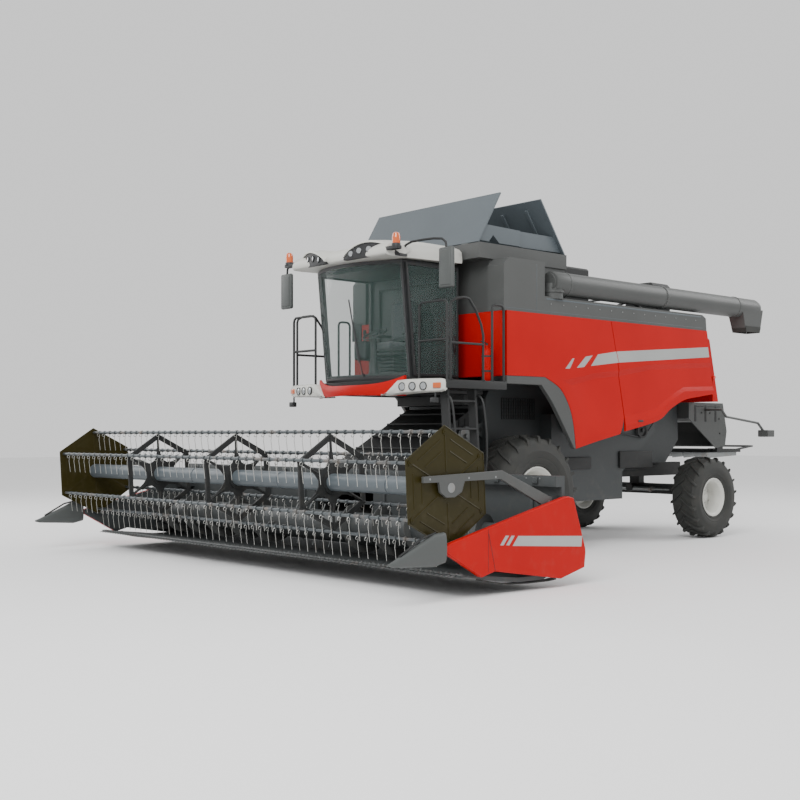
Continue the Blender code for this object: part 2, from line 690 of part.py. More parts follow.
def build_cab_interior():
    """Seat, steering column and side console on the cab floor."""
    floor = CAB_FLOOR + CAB_WALL + GAP
    base = block((-0.18, -1.50, floor), (0.18, -1.10, 2.86))
    cushion = block((-0.26, -1.62, 2.84), (0.26, -1.08, 2.98), 0.03)
    back = block((-0.25, -1.20, 2.95), (0.25, -1.06, 3.62), 0.03)
    console = block((-0.60, -1.60, floor + 0.25), (-0.32, -1.06, 3.02), 0.03)
    display = block((-0.56, -1.66, 3.00), (-0.36, -1.58, 3.24), 0.01)
    bridge = block((-0.40, -1.40, 2.75), (-0.10, -1.20, 2.83))
    node("driver_seat", fuse(base, cushion, back, bridge, console, display), "cloth")
    column = rod((0, -1.70, floor), (0, -1.70, 3.05), 0.05, 12)
    hub = rod((0, -1.70, 3.03), (0, -1.675, 3.08), 0.06, 12)
    ring = []
    for index in range(20):
        angle = 2 * math.pi * index / 20
        ring.append((0.17 * math.cos(angle), -1.68 + 0.15 * math.sin(angle),
                     3.07 + 0.08 * math.sin(angle)))
    wheel = tube(ring, 0.014, 2, closed=True)
    spoke = block((-0.17, -1.70, 3.055), (0.17, -1.66, 3.08))
    node("steering_column", fuse(column, hub, spoke, wheel), "plastic")


def build_valance():
    """The red strip below the windscreen, with a lamp cluster at each end."""
    columns = 10
    outer = []
    inner = []
    for column in range(columns + 1):
        u = 2 * column / columns - 1
        outer.append((u * 0.90, -1.95 - 0.24 * (1 - u * u)))
        inner.append((u * 0.90, -1.90 - 0.24 * (1 - u * u)))
    strip = plate(outer + inner[::-1], 2.19, 2.3897, "XY")
    carrier = block((-0.85, -1.96, 2.2403), (0.85, -0.40, CAB_FLOOR - GAP))
    bearer = block((-0.70, -0.64, 2.09), (0.70, -0.3003, 2.30))
    clusters = []
    for side in (1, -1):
        outline = mirrored([(0.86, -2.05, 0), (1.05, -2.06, 0), (1.60, -1.93, 0),
                            (1.63, -1.8903, 0), (0.86, -1.8903, 0)], side)
        flat = [(x, y) for x, y, z in outline]
        clusters.append(plate(flat, 2.22, 2.405, "XY"))
    node("front_valance", fuse(strip, carrier, bearer, *clusters), "red_paint")


def build_platforms():
    """The walkways beside the cab, with their handrails."""
    for side, hand in SIDES:
        low, high = span(side, 0.9363, 1.64)
        deck = block((low, -1.89, 2.27), (high, BODY_FRONT - 0.001, DECK_Z - 0.004))
        rail = 0.017
        front = tube(mirrored([(1.10, -1.86, 2.31), (1.10, -1.86, 3.36), (1.14, -1.86, 3.40),
                               (1.58, -1.86, 3.40), (1.62, -1.86, 3.36), (1.62, -1.86, 2.31)],
                              side), rail)
        middle = tube(mirrored([(1.10, -1.86, 2.90), (1.62, -1.86, 2.90)], side), rail * 0.8)
        outer = tube(mirrored([(1.62, -1.80, 2.31), (1.62, -1.80, 3.36), (1.62, -1.74, 3.41),
                               (1.62, -1.50, 3.46), (1.62, -1.34, 3.30), (1.62, -1.20, 3.00),
                               (1.62, -1.20, 2.31)], side), rail)
        rear = tube(mirrored([(1.61, -1.02, 2.31), (1.61, -1.02, 3.36), (1.61, -0.98, 3.40),
                              (1.61, -0.84, 3.40), (1.61, -0.80, 3.36), (1.61, -0.80, 2.31)],
                             side), rail)
        node("platform_" + hand, fuse(deck, front, middle, outer, rear), "dark_frame")


def build_ladder():
    """The boarding ladder under the left platform, on its vertical hinge."""
    stringers = []
    for y in (-1.78, -1.28):
        stringers.append(plate([(1.42, 2.2697), (1.56, 2.2697), (1.68, 0.62), (1.62, 0.55),
                                (1.54, 0.62)], y - 0.02, y + 0.02, "XZ"))
    steps = []
    for index in range(5):
        z = 0.66 + 0.36 * index
        x = 1.575 - 0.022 * index
        steps.append(block((x - 0.07, -1.78, z), (x + 0.09, -1.28, z + 0.03)))
    node("boarding_ladder", fuse(stringers[0], *steps, stringers[1]), "dark_frame",
         (1.49, -1.28, 0.0))


# ---------------------------------------------------------------- grain handling
def build_unloader():
    """The folded unloading auger on its turret, with the spout at its end."""
    turret = rod((AUGER_X, AUGER_PIVOT_Y, SHELF_Z + GAP), (AUGER_X, AUGER_PIVOT_Y, SHELF_Z + 0.03),
                 0.13, 24)
    elbow = rod((AUGER_X, AUGER_PIVOT_Y, SHELF_Z + 0.02), (AUGER_X, AUGER_PIVOT_Y, AUGER_Z + 0.10),
                0.12, 24)
    tube_start = AUGER_PIVOT_Y - 0.10
    barrel = rod((AUGER_X, tube_start, AUGER_Z + 0.01), (AUGER_X, AUGER_END, AUGER_Z + 0.01),
                 AUGER_R - 0.003, 28)
    flange = rod((AUGER_X, 2.86, AUGER_Z + 0.01), (AUGER_X, 2.90, AUGER_Z + 0.01), AUGER_R + 0.008, 28)
    spout_top = [(AUGER_END - 0.65, AUGER_Z), (AUGER_END + 0.02, AUGER_Z),
                 (AUGER_END - 0.03, SPOUT_Z), (AUGER_END - 0.60, SPOUT_Z)]
    spout = plate(spout_top, AUGER_X - 0.15, AUGER_X + 0.15)
    hollow_outline = [(AUGER_END - 0.60, AUGER_Z - 0.05), (AUGER_END - 0.03, AUGER_Z - 0.05),
                      (AUGER_END - 0.06, SPOUT_Z - 0.05), (AUGER_END - 0.57, SPOUT_Z - 0.05)]
    hollow = plate(hollow_outline, AUGER_X - 0.13, AUGER_X + 0.13)
    auger = cut(fuse(elbow, turret, barrel, flange, spout), hollow)
    node("unloading_auger", auger, "blue_grey", (AUGER_X, AUGER_PIVOT_Y, 0.0))


def build_tank_lids():
    """The two lids over the tank, standing open, each with folding side wings."""
    shapes = {
        "front": ((-0.915, TANK_TOP + GAP), (-0.48, 5.00), -1),
        "rear": ((0.855, TANK_TOP + GAP), (0.33, 5.02), 1),
    }
    for place, (hinge, top, outward) in shapes.items():
        run = Vector((top[0] - hinge[0], top[1] - hinge[1])).normalized()
        across = Vector((-run.y, run.x))
        if across.x * outward < 0:
            across = -across
        skin = across * LID_THICK
        sheet = [hinge, top, (top[0] + skin.x, top[1] + skin.y),
                 (hinge[0] + skin.x, hinge[1] + skin.y)]
        lid = plate(sheet, -LID_HALF, LID_HALF)
        inside = across * (LID_THICK / 2)
        low = Vector(hinge) + inside + run * 0.04
        high = Vector(hinge) + inside + run * 0.30
        wing = [tuple(low)]
        wing += [(hinge[0] - outward * reach, hinge[1] + rise) for reach, rise in WING_SHAPE[place]]
        wing.append(tuple(high))
        inset = WING_X[place]
        wings = [plate(wing, *span(side, inset, inset + 0.012)) for side in (1, -1)]
        pivot = (0.0, *hinge)
        node("tank_lid_" + place, fuse(lid, *wings), "blue_grey", pivot)


# ---------------------------------------------------------------- header
def build_feeder():
    """The feeder house, a channel from the header up to the threshing housing."""
    outline = [(HEADER_BACK + GAP, 0.32), (HEADER_BACK + GAP, 1.06), (-0.45, 2.05),
               (-0.45, 1.45)]
    inner = [(HEADER_BACK - 0.10, 0.32 + 0.03), (HEADER_BACK - 0.10, 0.95), (-0.30, 2.06),
             (-0.30, 1.57)]
    channel = plate(outline, -FEEDER_HALF, FEEDER_HALF)
    hollow = plate(inner, -FEEDER_HALF + SHEET, FEEDER_HALF - SHEET)
    trunnion = rod((-FEEDER_HALF - 0.06, *FEEDER_PIVOT), (FEEDER_HALF + 0.06, *FEEDER_PIVOT),
                   TRUNNION_R, 32)
    cheeks = [plate([(-0.60, 1.58), (-0.60, 1.90), (-0.36, 1.81), (-0.318, 1.75), (-0.36, 1.69)],
                    *span(side, FEEDER_HALF - SHEET, FEEDER_HALF + 0.01)) for side in (1, -1)]
    feeder = fuse(cut(channel, hollow), *cheeks, trunnion)
    node("feeder_house", feeder, "dark_frame", (0.0, *FEEDER_PIVOT))


def build_header():
    """The grain table: back wall, trough and table sheet in one long section."""
    outer = [(KNIFE_Y, KNIFE_Z - 0.02), (-3.30, 0.14), (-2.95, 0.10), (-2.55, 0.10),
             (-2.27, 0.20), (HEADER_BACK, 0.32), (HEADER_BACK, HEADER_TOP),
             (-2.34, HEADER_TOP), (-2.34, HEADER_TOP - 0.12), (HEADER_BACK - 0.05, HEADER_TOP - 0.12),
             (HEADER_BACK - 0.05, 0.36), (-2.36, 0.23), (-2.60, 0.15), (-2.95, 0.15),
             (-3.30, 0.19), (KNIFE_Y, KNIFE_Z)]
    table = plate(outer, -HEADER_HALF + GAP, HEADER_HALF - GAP)
    throat = block((-THROAT_HALF, -2.45, 0.40), (THROAT_HALF, -2.0, 0.93))
    brackets = []
    for side in (1, -1):
        low, high = span(side, ARM_X - 0.05, ARM_X - GAP)
        brackets.append(block((low, -2.52, 0.86), (high, -2.22, 1.00)))
    knife = block((-HEADER_HALF + 0.01, KNIFE_Y - 0.07, KNIFE_Z - 0.02),
                  (HEADER_HALF - 0.01, KNIFE_Y + 0.03, KNIFE_Z + 0.005))
    table = fuse(cut(table, throat), knife, *brackets)
    node("header_frame", table, "grey_paint", (0.0, *FEEDER_PIVOT))


def build_header_ends():
    """End panels with their crop dividers."""
    panel = [(-4.0997, 0.50), (-4.0997, 0.56), (-4.04, 0.585), (-2.28, 0.99), (-2.113, 0.985),
             (-1.902, 0.389), (-1.923, 0.184), (-2.329, 0.090), (-3.383, 0.254), (-3.580, 0.205)]
    divider = [(FRONT_END, 0.43), (-4.80, 0.47), (-4.27, 0.71), (-4.10, 0.71), (-4.10, 0.40),
               (-4.19, 0.35), (-4.70, 0.39)]
    for side, hand in SIDES:
        low, high = span(side, HEADER_HALF, HEADER_HALF + END_PANEL)
        node("end_panel_" + hand, plate(panel, low, high), "red_paint", (0.0, *FEEDER_PIVOT))
        low, high = span(side, HEADER_HALF - 0.01, HEADER_HALF + END_PANEL + 0.03)
        snout = plate(divider, low, high)
        node("crop_divider_" + hand, snout, "grey_paint", (0.0, *FEEDER_PIVOT))


def build_intake_auger():
    """The intake drum with two opposed helical flights."""
    y, z = INTAKE_AXIS
    drum = rod((-HEADER_HALF + 2 * GAP, y, z), (HEADER_HALF - 2 * GAP, y, z), INTAKE_DRUM_R, 24)
    flights = []
    pitch, turns = 0.80, 3.75
    for side in (1, -1):
        steps = 7
        points = []
        for index in range(int(steps * turns) + 1):
            angle = 2 * math.pi * index / steps * side
            x = side * (0.70 + pitch * index / steps)
            for radius in (INTAKE_DRUM_R - 0.02, INTAKE_R):
                points.append((x, y + radius * math.cos(angle), z + radius * math.sin(angle)))
        faces = [(2 * i, 2 * i + 1, 2 * i + 3, 2 * i + 2) for i in range(len(points) // 2 - 1)]
        mesh = bpy.data.meshes.new("flight")
        mesh.from_pydata(points, [], faces)
        flight = mesh_object("flight", mesh)
        thick = flight.modifiers.new("thickness", "SOLIDIFY")
        thick.thickness = 0.012
        thick.offset = 0.0
        flights.append(applied(flight, orient=True))
    node("intake_auger", fuse(drum, *flights), "steel", (0.0, y, z))


def reel_point(index):
    """Y and Z of one tine bar's centre."""
    angle = math.radians(30 + BAR_PHASE + 360 / BAR_COUNT * index)
    return (REEL_AXIS[0] + REEL_BAR_R * math.cos(angle), REEL_AXIS[1] + REEL_BAR_R * math.sin(angle))


def reel_hexagon(reach):
    """Corners on the rays through the tine bars, at a share of their distance from the axis."""
    y, z = REEL_AXIS
    return [(y + (by - y) * reach, z + (bz - z) * reach)
            for by, bz in (reel_point(index) for index in range(BAR_COUNT))]


def build_reel():
    """The reel: a tube with spiders and end shields, and six tine bars."""
    y, z = REEL_AXIS
    core = rod((-ARM_X + GAP, y, z), (ARM_X - GAP, y, z), 0.03, 12)
    tube_body = rod((-REEL_HALF - 0.005, y, z), (REEL_HALF + 0.005, y, z), REEL_TUBE_R, 20)
    shapes = [tube_body, core]
    for side in (1, -1):
        low, high = span(side, REEL_HALF, REEL_HALF + 0.012)
        shapes.append(plate(reel_hexagon(SHIELD_REACH), low, high))
    arm_reach = (REEL_BAR_R - BAR_R - GAP) / REEL_BAR_R
    for x in SPIDERS:
        for index in range(BAR_COUNT // 2):
            by, bz = reel_point(index)
            direction = Vector((by - y, bz - z)).normalized()
            across = Vector((-direction.y, direction.x)) * 0.03
            tip = direction * (REEL_BAR_R * arm_reach)
            corners = [(y + s * tip.x + t * across.x, z + s * tip.y + t * across.y)
                       for s, t in ((1, 1), (-1, 1), (-1, -1), (1, -1))]
            shapes.append(plate(corners, x - 0.01 - 0.001 * index, x + 0.01 + 0.001 * index))
        rim, hollow = (reel_hexagon(arm_reach - inset) for inset in (SPIDER_INSET, SPIDER_RIM))
        shapes.append(cut(plate(rim, x - 0.013, x + 0.013), plate(hollow, x - 0.03, x + 0.03)))
    node("reel_rotor", fuse(*shapes), "shield", (0.0, y, z))
    for index in range(BAR_COUNT):
        by, bz = reel_point(index)
        bar = rod((-REEL_HALF + GAP, by, bz), (REEL_HALF - GAP, by, bz), BAR_R, 8)
        node("tine_bar_%d" % (index + 1), bar, "steel", (0.0, by, bz))


def build_reel_arms():
    """The two lifting arms with the bearing plates that hold the reel."""
    arm = [(-4.34, 1.195), (-4.34, 1.265), (-3.20, 1.305), (-2.40, 0.99), (-2.40, 0.88),
           (-2.50, 0.88), (-3.22, 1.215), (-3.76, 1.205), (-3.80, 1.09), (-3.90, 1.04),
           (-4.02, 1.04), (-4.10, 1.09), (-4.12, 1.195)]
    for side, hand in SIDES:
        low, high = span(side, ARM_X, ARM_X + ARM_W)
        node("reel_arm_" + hand, plate(arm, low, high), "grey_paint", (0.0, *ARM_PIVOT))


def build_all():
    """Build every node of the machine."""
    for step in (build_chassis, build_front_axle, build_front_wheels, build_rear_axle,
                 build_rear_wheels, build_housing, build_engine, build_tank,
                 build_upper_panels, build_front_wall, build_deck,
                 build_rear_body, build_tailboard, build_chopper,
                 build_side_panels, build_cab, build_windscreen, build_cab_roof,
                 build_cab_interior, build_valance, build_platforms, build_ladder,
                 build_unloader, build_tank_lids, build_feeder, build_header,
                 build_header_ends, build_intake_auger, build_reel, build_reel_arms):
        step()
    bpy.context.view_layer.update()


build_all()
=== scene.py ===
"""Looks of the combine harvester: detailed meshes and procedural finishes around the frame."""

from __future__ import annotations

import logging
import math
from dataclasses import dataclass, field
from enum import Enum
from typing import Iterator, Sequence

import bmesh
import bpy
from mathutils import Matrix, Vector


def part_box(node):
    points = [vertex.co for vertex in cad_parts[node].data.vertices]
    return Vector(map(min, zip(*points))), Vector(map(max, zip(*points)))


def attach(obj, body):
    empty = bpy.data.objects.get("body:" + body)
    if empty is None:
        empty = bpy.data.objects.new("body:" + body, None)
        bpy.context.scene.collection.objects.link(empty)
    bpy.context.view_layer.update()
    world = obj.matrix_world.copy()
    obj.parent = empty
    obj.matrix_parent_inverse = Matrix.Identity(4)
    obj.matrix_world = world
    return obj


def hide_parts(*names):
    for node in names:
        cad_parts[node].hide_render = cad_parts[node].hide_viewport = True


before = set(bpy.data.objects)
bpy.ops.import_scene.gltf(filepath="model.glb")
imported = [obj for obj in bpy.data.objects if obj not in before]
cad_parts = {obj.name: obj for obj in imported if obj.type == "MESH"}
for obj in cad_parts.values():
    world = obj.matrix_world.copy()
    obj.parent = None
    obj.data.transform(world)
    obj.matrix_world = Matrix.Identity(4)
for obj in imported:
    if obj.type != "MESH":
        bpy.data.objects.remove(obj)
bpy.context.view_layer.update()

LOG = logging.getLogger("harvester")
Point = tuple[float, float, float]
SIDES = ((1, "left"), (-1, "right"))


def middle(node: str) -> Vector:
    """Centre of a CAD node's box."""
    low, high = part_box(node)
    return (Vector(low) + Vector(high)) / 2


def low_high(node: str) -> tuple[Vector, Vector]:
    """Lowest and highest corner of a CAD node."""
    low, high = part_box(node)
    return Vector(low), Vector(high)


AXLE_Y = middle("front_tyre_left").y


def at(x: float, y: float, z: float) -> Point:
    """A place whose Y is measured from the front axle."""
    return (x, y + AXLE_Y, z)


def flat(x: float, outline: Sequence[Sequence[float]]) -> list[Point]:
    """An outline of (y, z) places stood up at one x."""
    return [at(x, y, z) for y, z in outline]


def across(side: int, points: Sequence[Point]) -> list[Point]:
    """Places given for the left side, moved to one side."""
    return [at(side * x, y, z) for x, y, z in points]


def circle(count: int, radius: float, start: float = 0.0) -> Iterator[tuple[float, float]]:
    """Places spread evenly round a circle, from a share of the first step."""
    for step in range(count):
        angle = math.tau * (step + start) / count
        yield radius * math.cos(angle), radius * math.sin(angle)


def linked(name: str, data: bpy.types.ID) -> bpy.types.Object:
    """A new object in the scene."""
    item = bpy.data.objects.new(name, data)
    bpy.context.scene.collection.objects.link(item)
    return item


# ---------------------------------------------------------------- shader maths
class Field:
    """A shader socket that takes part in Python arithmetic."""

    def __init__(self, tree: bpy.types.NodeTree, socket: bpy.types.NodeSocket) -> None:
        """Wrap a node tree's output socket."""
        self.tree = tree
        self.socket = socket

    def _math(self, operation: str, a: object, b: object) -> Field:
        """Add one Math node that works on two values."""
        node = self.tree.nodes.new("ShaderNodeMath")
        node.operation = operation
        for slot, value in zip(node.inputs, (a, b)):
            if isinstance(value, Field):
                self.tree.links.new(value.socket, slot)
            else:
                slot.default_value = float(value)
        return Field(self.tree, node.outputs[0])

    def __add__(self, other: object) -> Field:
        """Sum."""
        return self._math("ADD", self, other)

    def __sub__(self, other: object) -> Field:
        """Difference."""
        return self._math("SUBTRACT", self, other)

    def __rsub__(self, other: object) -> Field:
        """Difference with the number first."""
        return self._math("SUBTRACT", other, self)

    def __mul__(self, other: object) -> Field:
        """Product."""
        return self._math("MULTIPLY", self, other)

    __rmul__ = __mul__

    def clamp(self) -> Field:
        """The value kept between 0 and 1."""
        return self._math("MINIMUM", self._math("MAXIMUM", self, 0.0), 1.0)


class Shader:
    """One Principled material and the methods that add nodes to it."""

    def __init__(self, name: str) -> None:
        """Start a material with an empty Principled shader."""
        self.material = bpy.data.materials.new(name)
        self.material.use_nodes = True
        self.tree = self.material.node_tree
        self.surface = self.tree.nodes["Principled BSDF"]

    def node(self, kind: str, settings: dict | None = None, **sockets: object) -> bpy.types.Node:
        """Add a node.

        Args:
            kind: the node's type name.
            settings: attributes that are set first.
            sockets: values or links, by socket name with _ for a space.

        Returns:
            The new node.
        """
        made = self.tree.nodes.new(kind)
        for key, value in (settings or {}).items():
            setattr(made, key, value)
        for key, value in sockets.items():
            slot = made.inputs[key.replace("_", " ")]
            if isinstance(value, Field):
                self.tree.links.new(value.socket, slot)
            else:
                slot.default_value = value
        return made

    def noise(self, scale: float, detail: float = 4.0, stretch: Point = (1, 1, 1)) -> Field:
        """Noise over the object's own space, stretched along its axes."""
        place = self.node("ShaderNodeTexCoord")
        mapping = self.node("ShaderNodeMapping")
        mapping.inputs["Scale"].default_value = stretch
        self.tree.links.new(place.outputs["Object"], mapping.inputs["Vector"])
        made = self.node("ShaderNodeTexNoise", Scale=scale, Detail=detail)
        self.tree.links.new(mapping.outputs["Vector"], made.inputs["Vector"])
        return Field(self.tree, made.outputs["Fac"])

    def height(self) -> Field:
        """The object's own Z."""
        place = self.node("ShaderNodeTexCoord")
        parts = self.node("ShaderNodeSeparateXYZ")
        self.tree.links.new(place.outputs["Object"], parts.inputs[0])
        return Field(self.tree, parts.outputs["Z"])

    def blend(self, factor: Field, first: Sequence[float], second: Sequence[float]) -> Field:
        """Mix two colours by a field."""
        made = self.node("ShaderNodeMix", {"data_type": "RGBA"})
        self.tree.links.new(factor.socket, made.inputs[0])
        made.inputs[6].default_value = (*first, 1.0)
        made.inputs[7].default_value = (*second, 1.0)
        return Field(self.tree, made.outputs[2])

    def put(self, socket: str, value: object) -> None:
        """Set or link one socket of the Principled shader."""
        slot = self.surface.inputs[socket]
        if isinstance(value, Field):
            self.tree.links.new(value.socket, slot)
        else:
            slot.default_value = value

    def bump(self, height: Field, distance: float, strength: float = 1.0) -> None:
        """Roughen the normal with a height field in metres."""
        made = self.node("ShaderNodeBump", Strength=strength, Distance=distance, Height=height)
        self.put("Normal", Field(self.tree, made.outputs["Normal"]))


@dataclass(frozen=True)
class Paint:
    """Sprayed paint: slight tone drift, dust low down, orange peel."""

    name: str
    colour: tuple[float, float, float]
    roughness: float = 0.32
    coat: float = 0.3
    dust: float = 0.10
    metallic: float = 0.0
    specular: float = 0.35

    def make(self) -> bpy.types.Material:
        """Build the material."""
        s = Shader(self.name)
        drift = s.noise(1.3, 3.0)
        dark = tuple(c * 0.86 for c in self.colour)
        light = tuple(min(1.0, c * 1.10 + 0.002) for c in self.colour)
        tone = s.blend(drift, dark, light)
        grime = ((s.noise(9.0, 6.0) - 0.52) * 3.0).clamp() * ((1.6 - s.height()) * 0.5).clamp()
        dirty = s.node("ShaderNodeMix", {"data_type": "RGBA"})
        s.tree.links.new((grime * self.dust * 3.0).clamp().socket, dirty.inputs[0])
        s.tree.links.new(tone.socket, dirty.inputs[6])
        dirty.inputs[7].default_value = (0.20, 0.17, 0.13, 1.0)
        s.put("Base Color", Field(s.tree, dirty.outputs[2]))
        s.put("Roughness", s.noise(22.0, 3.0) * 0.10 + (self.roughness - 0.05))
        s.put("Metallic", self.metallic)
        s.put("Coat Weight", self.coat)
        s.put("Specular IOR Level", self.specular)
        s.bump(s.noise(160.0, 2.0), 0.0004, 0.35)
        return s.material


@dataclass(frozen=True)
class Rubber:
    """Tyre rubber with a fine grain and dusty patches."""

    name: str = "tyre_rubber"

    def make(self) -> bpy.types.Material:
        """Build the material."""
        s = Shader(self.name)
        patch = ((s.noise(6.0, 6.0) - 0.45) * 2.2).clamp()
        s.put("Base Color", s.blend(patch, (0.020, 0.021, 0.019), (0.040, 0.039, 0.034)))
        s.put("Roughness", patch * 0.15 + 0.72)
        s.bump(s.noise(240.0, 4.0), 0.001, 0.5)
        return s.material


@dataclass(frozen=True)
class Steel:
    """Bare or worn metal, brushed along one axis."""

    name: str
    colour: tuple[float, float, float] = (0.26, 0.27, 0.27)
    roughness: float = 0.36
    stretch: Point = (0.05, 1.0, 1.0)

    def make(self) -> bpy.types.Material:
        """Build the material."""
        s = Shader(self.name)
        brush = s.noise(90.0, 5.0, self.stretch)
        worn = ((s.noise(5.0, 6.0) - 0.55) * 4.0).clamp()
        s.put("Base Color", s.blend(worn, self.colour, (0.20, 0.16, 0.13)))
        s.put("Metallic", 0.85 - 0.5 * worn)
        s.put("Roughness", brush * 0.22 + (self.roughness - 0.08))
        s.bump(brush, 0.0006, 0.4)
        return s.material


@dataclass(frozen=True)
class Moulding:
    """Moulded plastic with a fine leather-like grain."""

    name: str
    colour: tuple[float, float, float]
    roughness: float = 0.55
    grain: float = 320.0

    def make(self) -> bpy.types.Material:
        """Build the material."""
        s = Shader(self.name)
        tone = s.noise(2.0, 3.0)
        s.put("Base Color", s.blend(tone, tuple(c * 0.88 for c in self.colour), self.colour))
        s.put("Roughness", s.noise(30.0, 3.0) * 0.12 + (self.roughness - 0.06))
        s.bump(s.noise(self.grain, 3.0), 0.0008, 0.5)
        return s.material


@dataclass(frozen=True)
class Glazing:
    """Tinted glass that lets the inside show."""

    name: str
    colour: tuple[float, float, float] = (0.105, 0.165, 0.150)
    alpha: float = 0.13
    roughness: float = 0.03

    def make(self) -> bpy.types.Material:
        """Build the material."""
        s = Shader(self.name)
        film = s.noise(3.0, 2.0)
        s.put("Base Color", s.blend(film, tuple(c * 0.9 for c in self.colour), self.colour))
        s.put("Roughness", film * 0.04 + self.roughness)
        s.put("Alpha", self.alpha)
        return s.material


@dataclass(frozen=True)
class Lens:
    """A lamp's lens or reflector."""

    name: str
    colour: tuple[float, float, float]
    glow: float = 0.0
    metallic: float = 0.0

    def make(self) -> bpy.types.Material:
        """Build the material."""
        s = Shader(self.name)
        flute = s.noise(60.0, 1.0)
        s.put("Base Color", s.blend(flute, tuple(c * 0.75 for c in self.colour), self.colour))
        s.put("Roughness", flute * 0.1 + 0.08)
        s.put("Metallic", self.metallic)
        s.put("Coat Weight", 0.8)
        s.put("Emission Color", (*self.colour, 1.0))
        s.put("Emission Strength", self.glow)
        return s.material


@dataclass(frozen=True)
class Cloth:
    """Woven seat cloth."""

    name: str = "seat_cloth"

    def make(self) -> bpy.types.Material:
        """Build the material."""
        s = Shader(self.name)
        place = s.node("ShaderNodeTexCoord")
        waves = []
        for axis in ("X", "Y"):
            wave = s.node("ShaderNodeTexWave", {"bands_direction": axis}, Scale=180.0, Distortion=0.6)
            s.tree.links.new(place.outputs["Object"], wave.inputs["Vector"])
            waves.append(Field(s.tree, wave.outputs["Fac"]))
        weave = waves[0] * waves[1]
        s.put("Base Color", s.blend(weave, (0.022, 0.023, 0.027), (0.075, 0.076, 0.085)))
        s.put("Roughness", weave * 0.1 + 0.85)
        s.put("Sheen Weight", 0.4)
        s.bump(weave, 0.001, 0.6)
        return s.material


class Finish(Enum):
    """The machine's finishes and the record slots they answer to."""

    RED = (Paint("body_red", (0.43, 0.0030, 0.0022), 0.34, 0.03, 0.05, 0.0, 0.10), "body_red")
    GREY = (Paint("body_grey", (0.068, 0.071, 0.069), 0.45, 0.03, 0.10, 0.0, 0.25), "body_grey")
    BLUE_GREY = (Paint("tank_blue_grey", (0.082, 0.099, 0.110), 0.42, 0.06), "tank_blue_grey")
    FRAME = (Paint("frame_dark", (0.017, 0.018, 0.018), 0.55, 0.02, 0.14), "frame_black")
    TABLE = (Paint("table_grey", (0.042, 0.047, 0.048), 0.5, 0.03), "body_grey")
    SILVER = (Paint("stripe_silver", (0.40, 0.41, 0.40), 0.34, 0.2, 0.0, 0.6), "body_grey")
    RIM = (Paint("rim_white", (0.58, 0.58, 0.54), 0.38, 0.1), "rim_white")
    WHITE = (Paint("lamp_white", (0.56, 0.56, 0.52), 0.35, 0.1, 0.02), "roof_moulding")
    SHIELD = (Paint("shield_olive", (0.026, 0.021, 0.004), 0.36, 0.06, 0.08, 0.0, 0.14), "reel_shield")
    RUBBER = (Rubber(), "tyre_rubber")
    STEEL = (Steel("bright_steel"), "bright_steel")
    BAR = (Steel("bar_steel", (0.11, 0.122, 0.128), 0.42), "bright_steel")
    TINE = (Steel("tine_steel", (0.42, 0.42, 0.40), 0.38, (1.0, 1.0, 0.1)), "bright_steel")
    PLASTIC = (Moulding("cab_plastic", (0.018, 0.019, 0.020)), "cab_plastic")
    ROOF = (Moulding("roof_moulding", (0.54, 0.54, 0.50), 0.5), "roof_moulding")
    MOULD_GREY = (Moulding("divider_grey", (0.060, 0.066, 0.064), 0.5), "body_grey")
    GLASS = (Glazing("cab_glass"), "cab_glass")
    # Rear pane: a near-opaque dark sheet, painted shade that stands in for the shade seen through the
    # rear window.
    SHADED_REAR_GLASS = (Glazing("rear_glass_painted_shade", (0.016, 0.020, 0.020), 0.92, 0.45), "cab_glass")
    CLOTH = (Cloth(), "seat_fabric")
    LAMP = (Lens("lamp_clear", (0.42, 0.44, 0.45), 0.0, 0.6), "roof_moulding")
    AMBER = (Lens("lamp_amber", (0.60, 0.10, 0.01), 0.08), "roof_moulding")
    RED_LENS = (Lens("lamp_red", (0.65, 0.02, 0.01), 0.1), "roof_moulding")
    MIRROR = (Lens("mirror_glass", (0.75, 0.78, 0.80), 0.0, 1.0), "cab_plastic")


_MADE: dict[str, bpy.types.Material] = {}


def material(finish: Finish) -> bpy.types.Material:
    """The finish's material, made once."""
    if finish.name not in _MADE:
        _MADE[finish.name] = finish.value[0].make()
    return _MADE[finish.name]


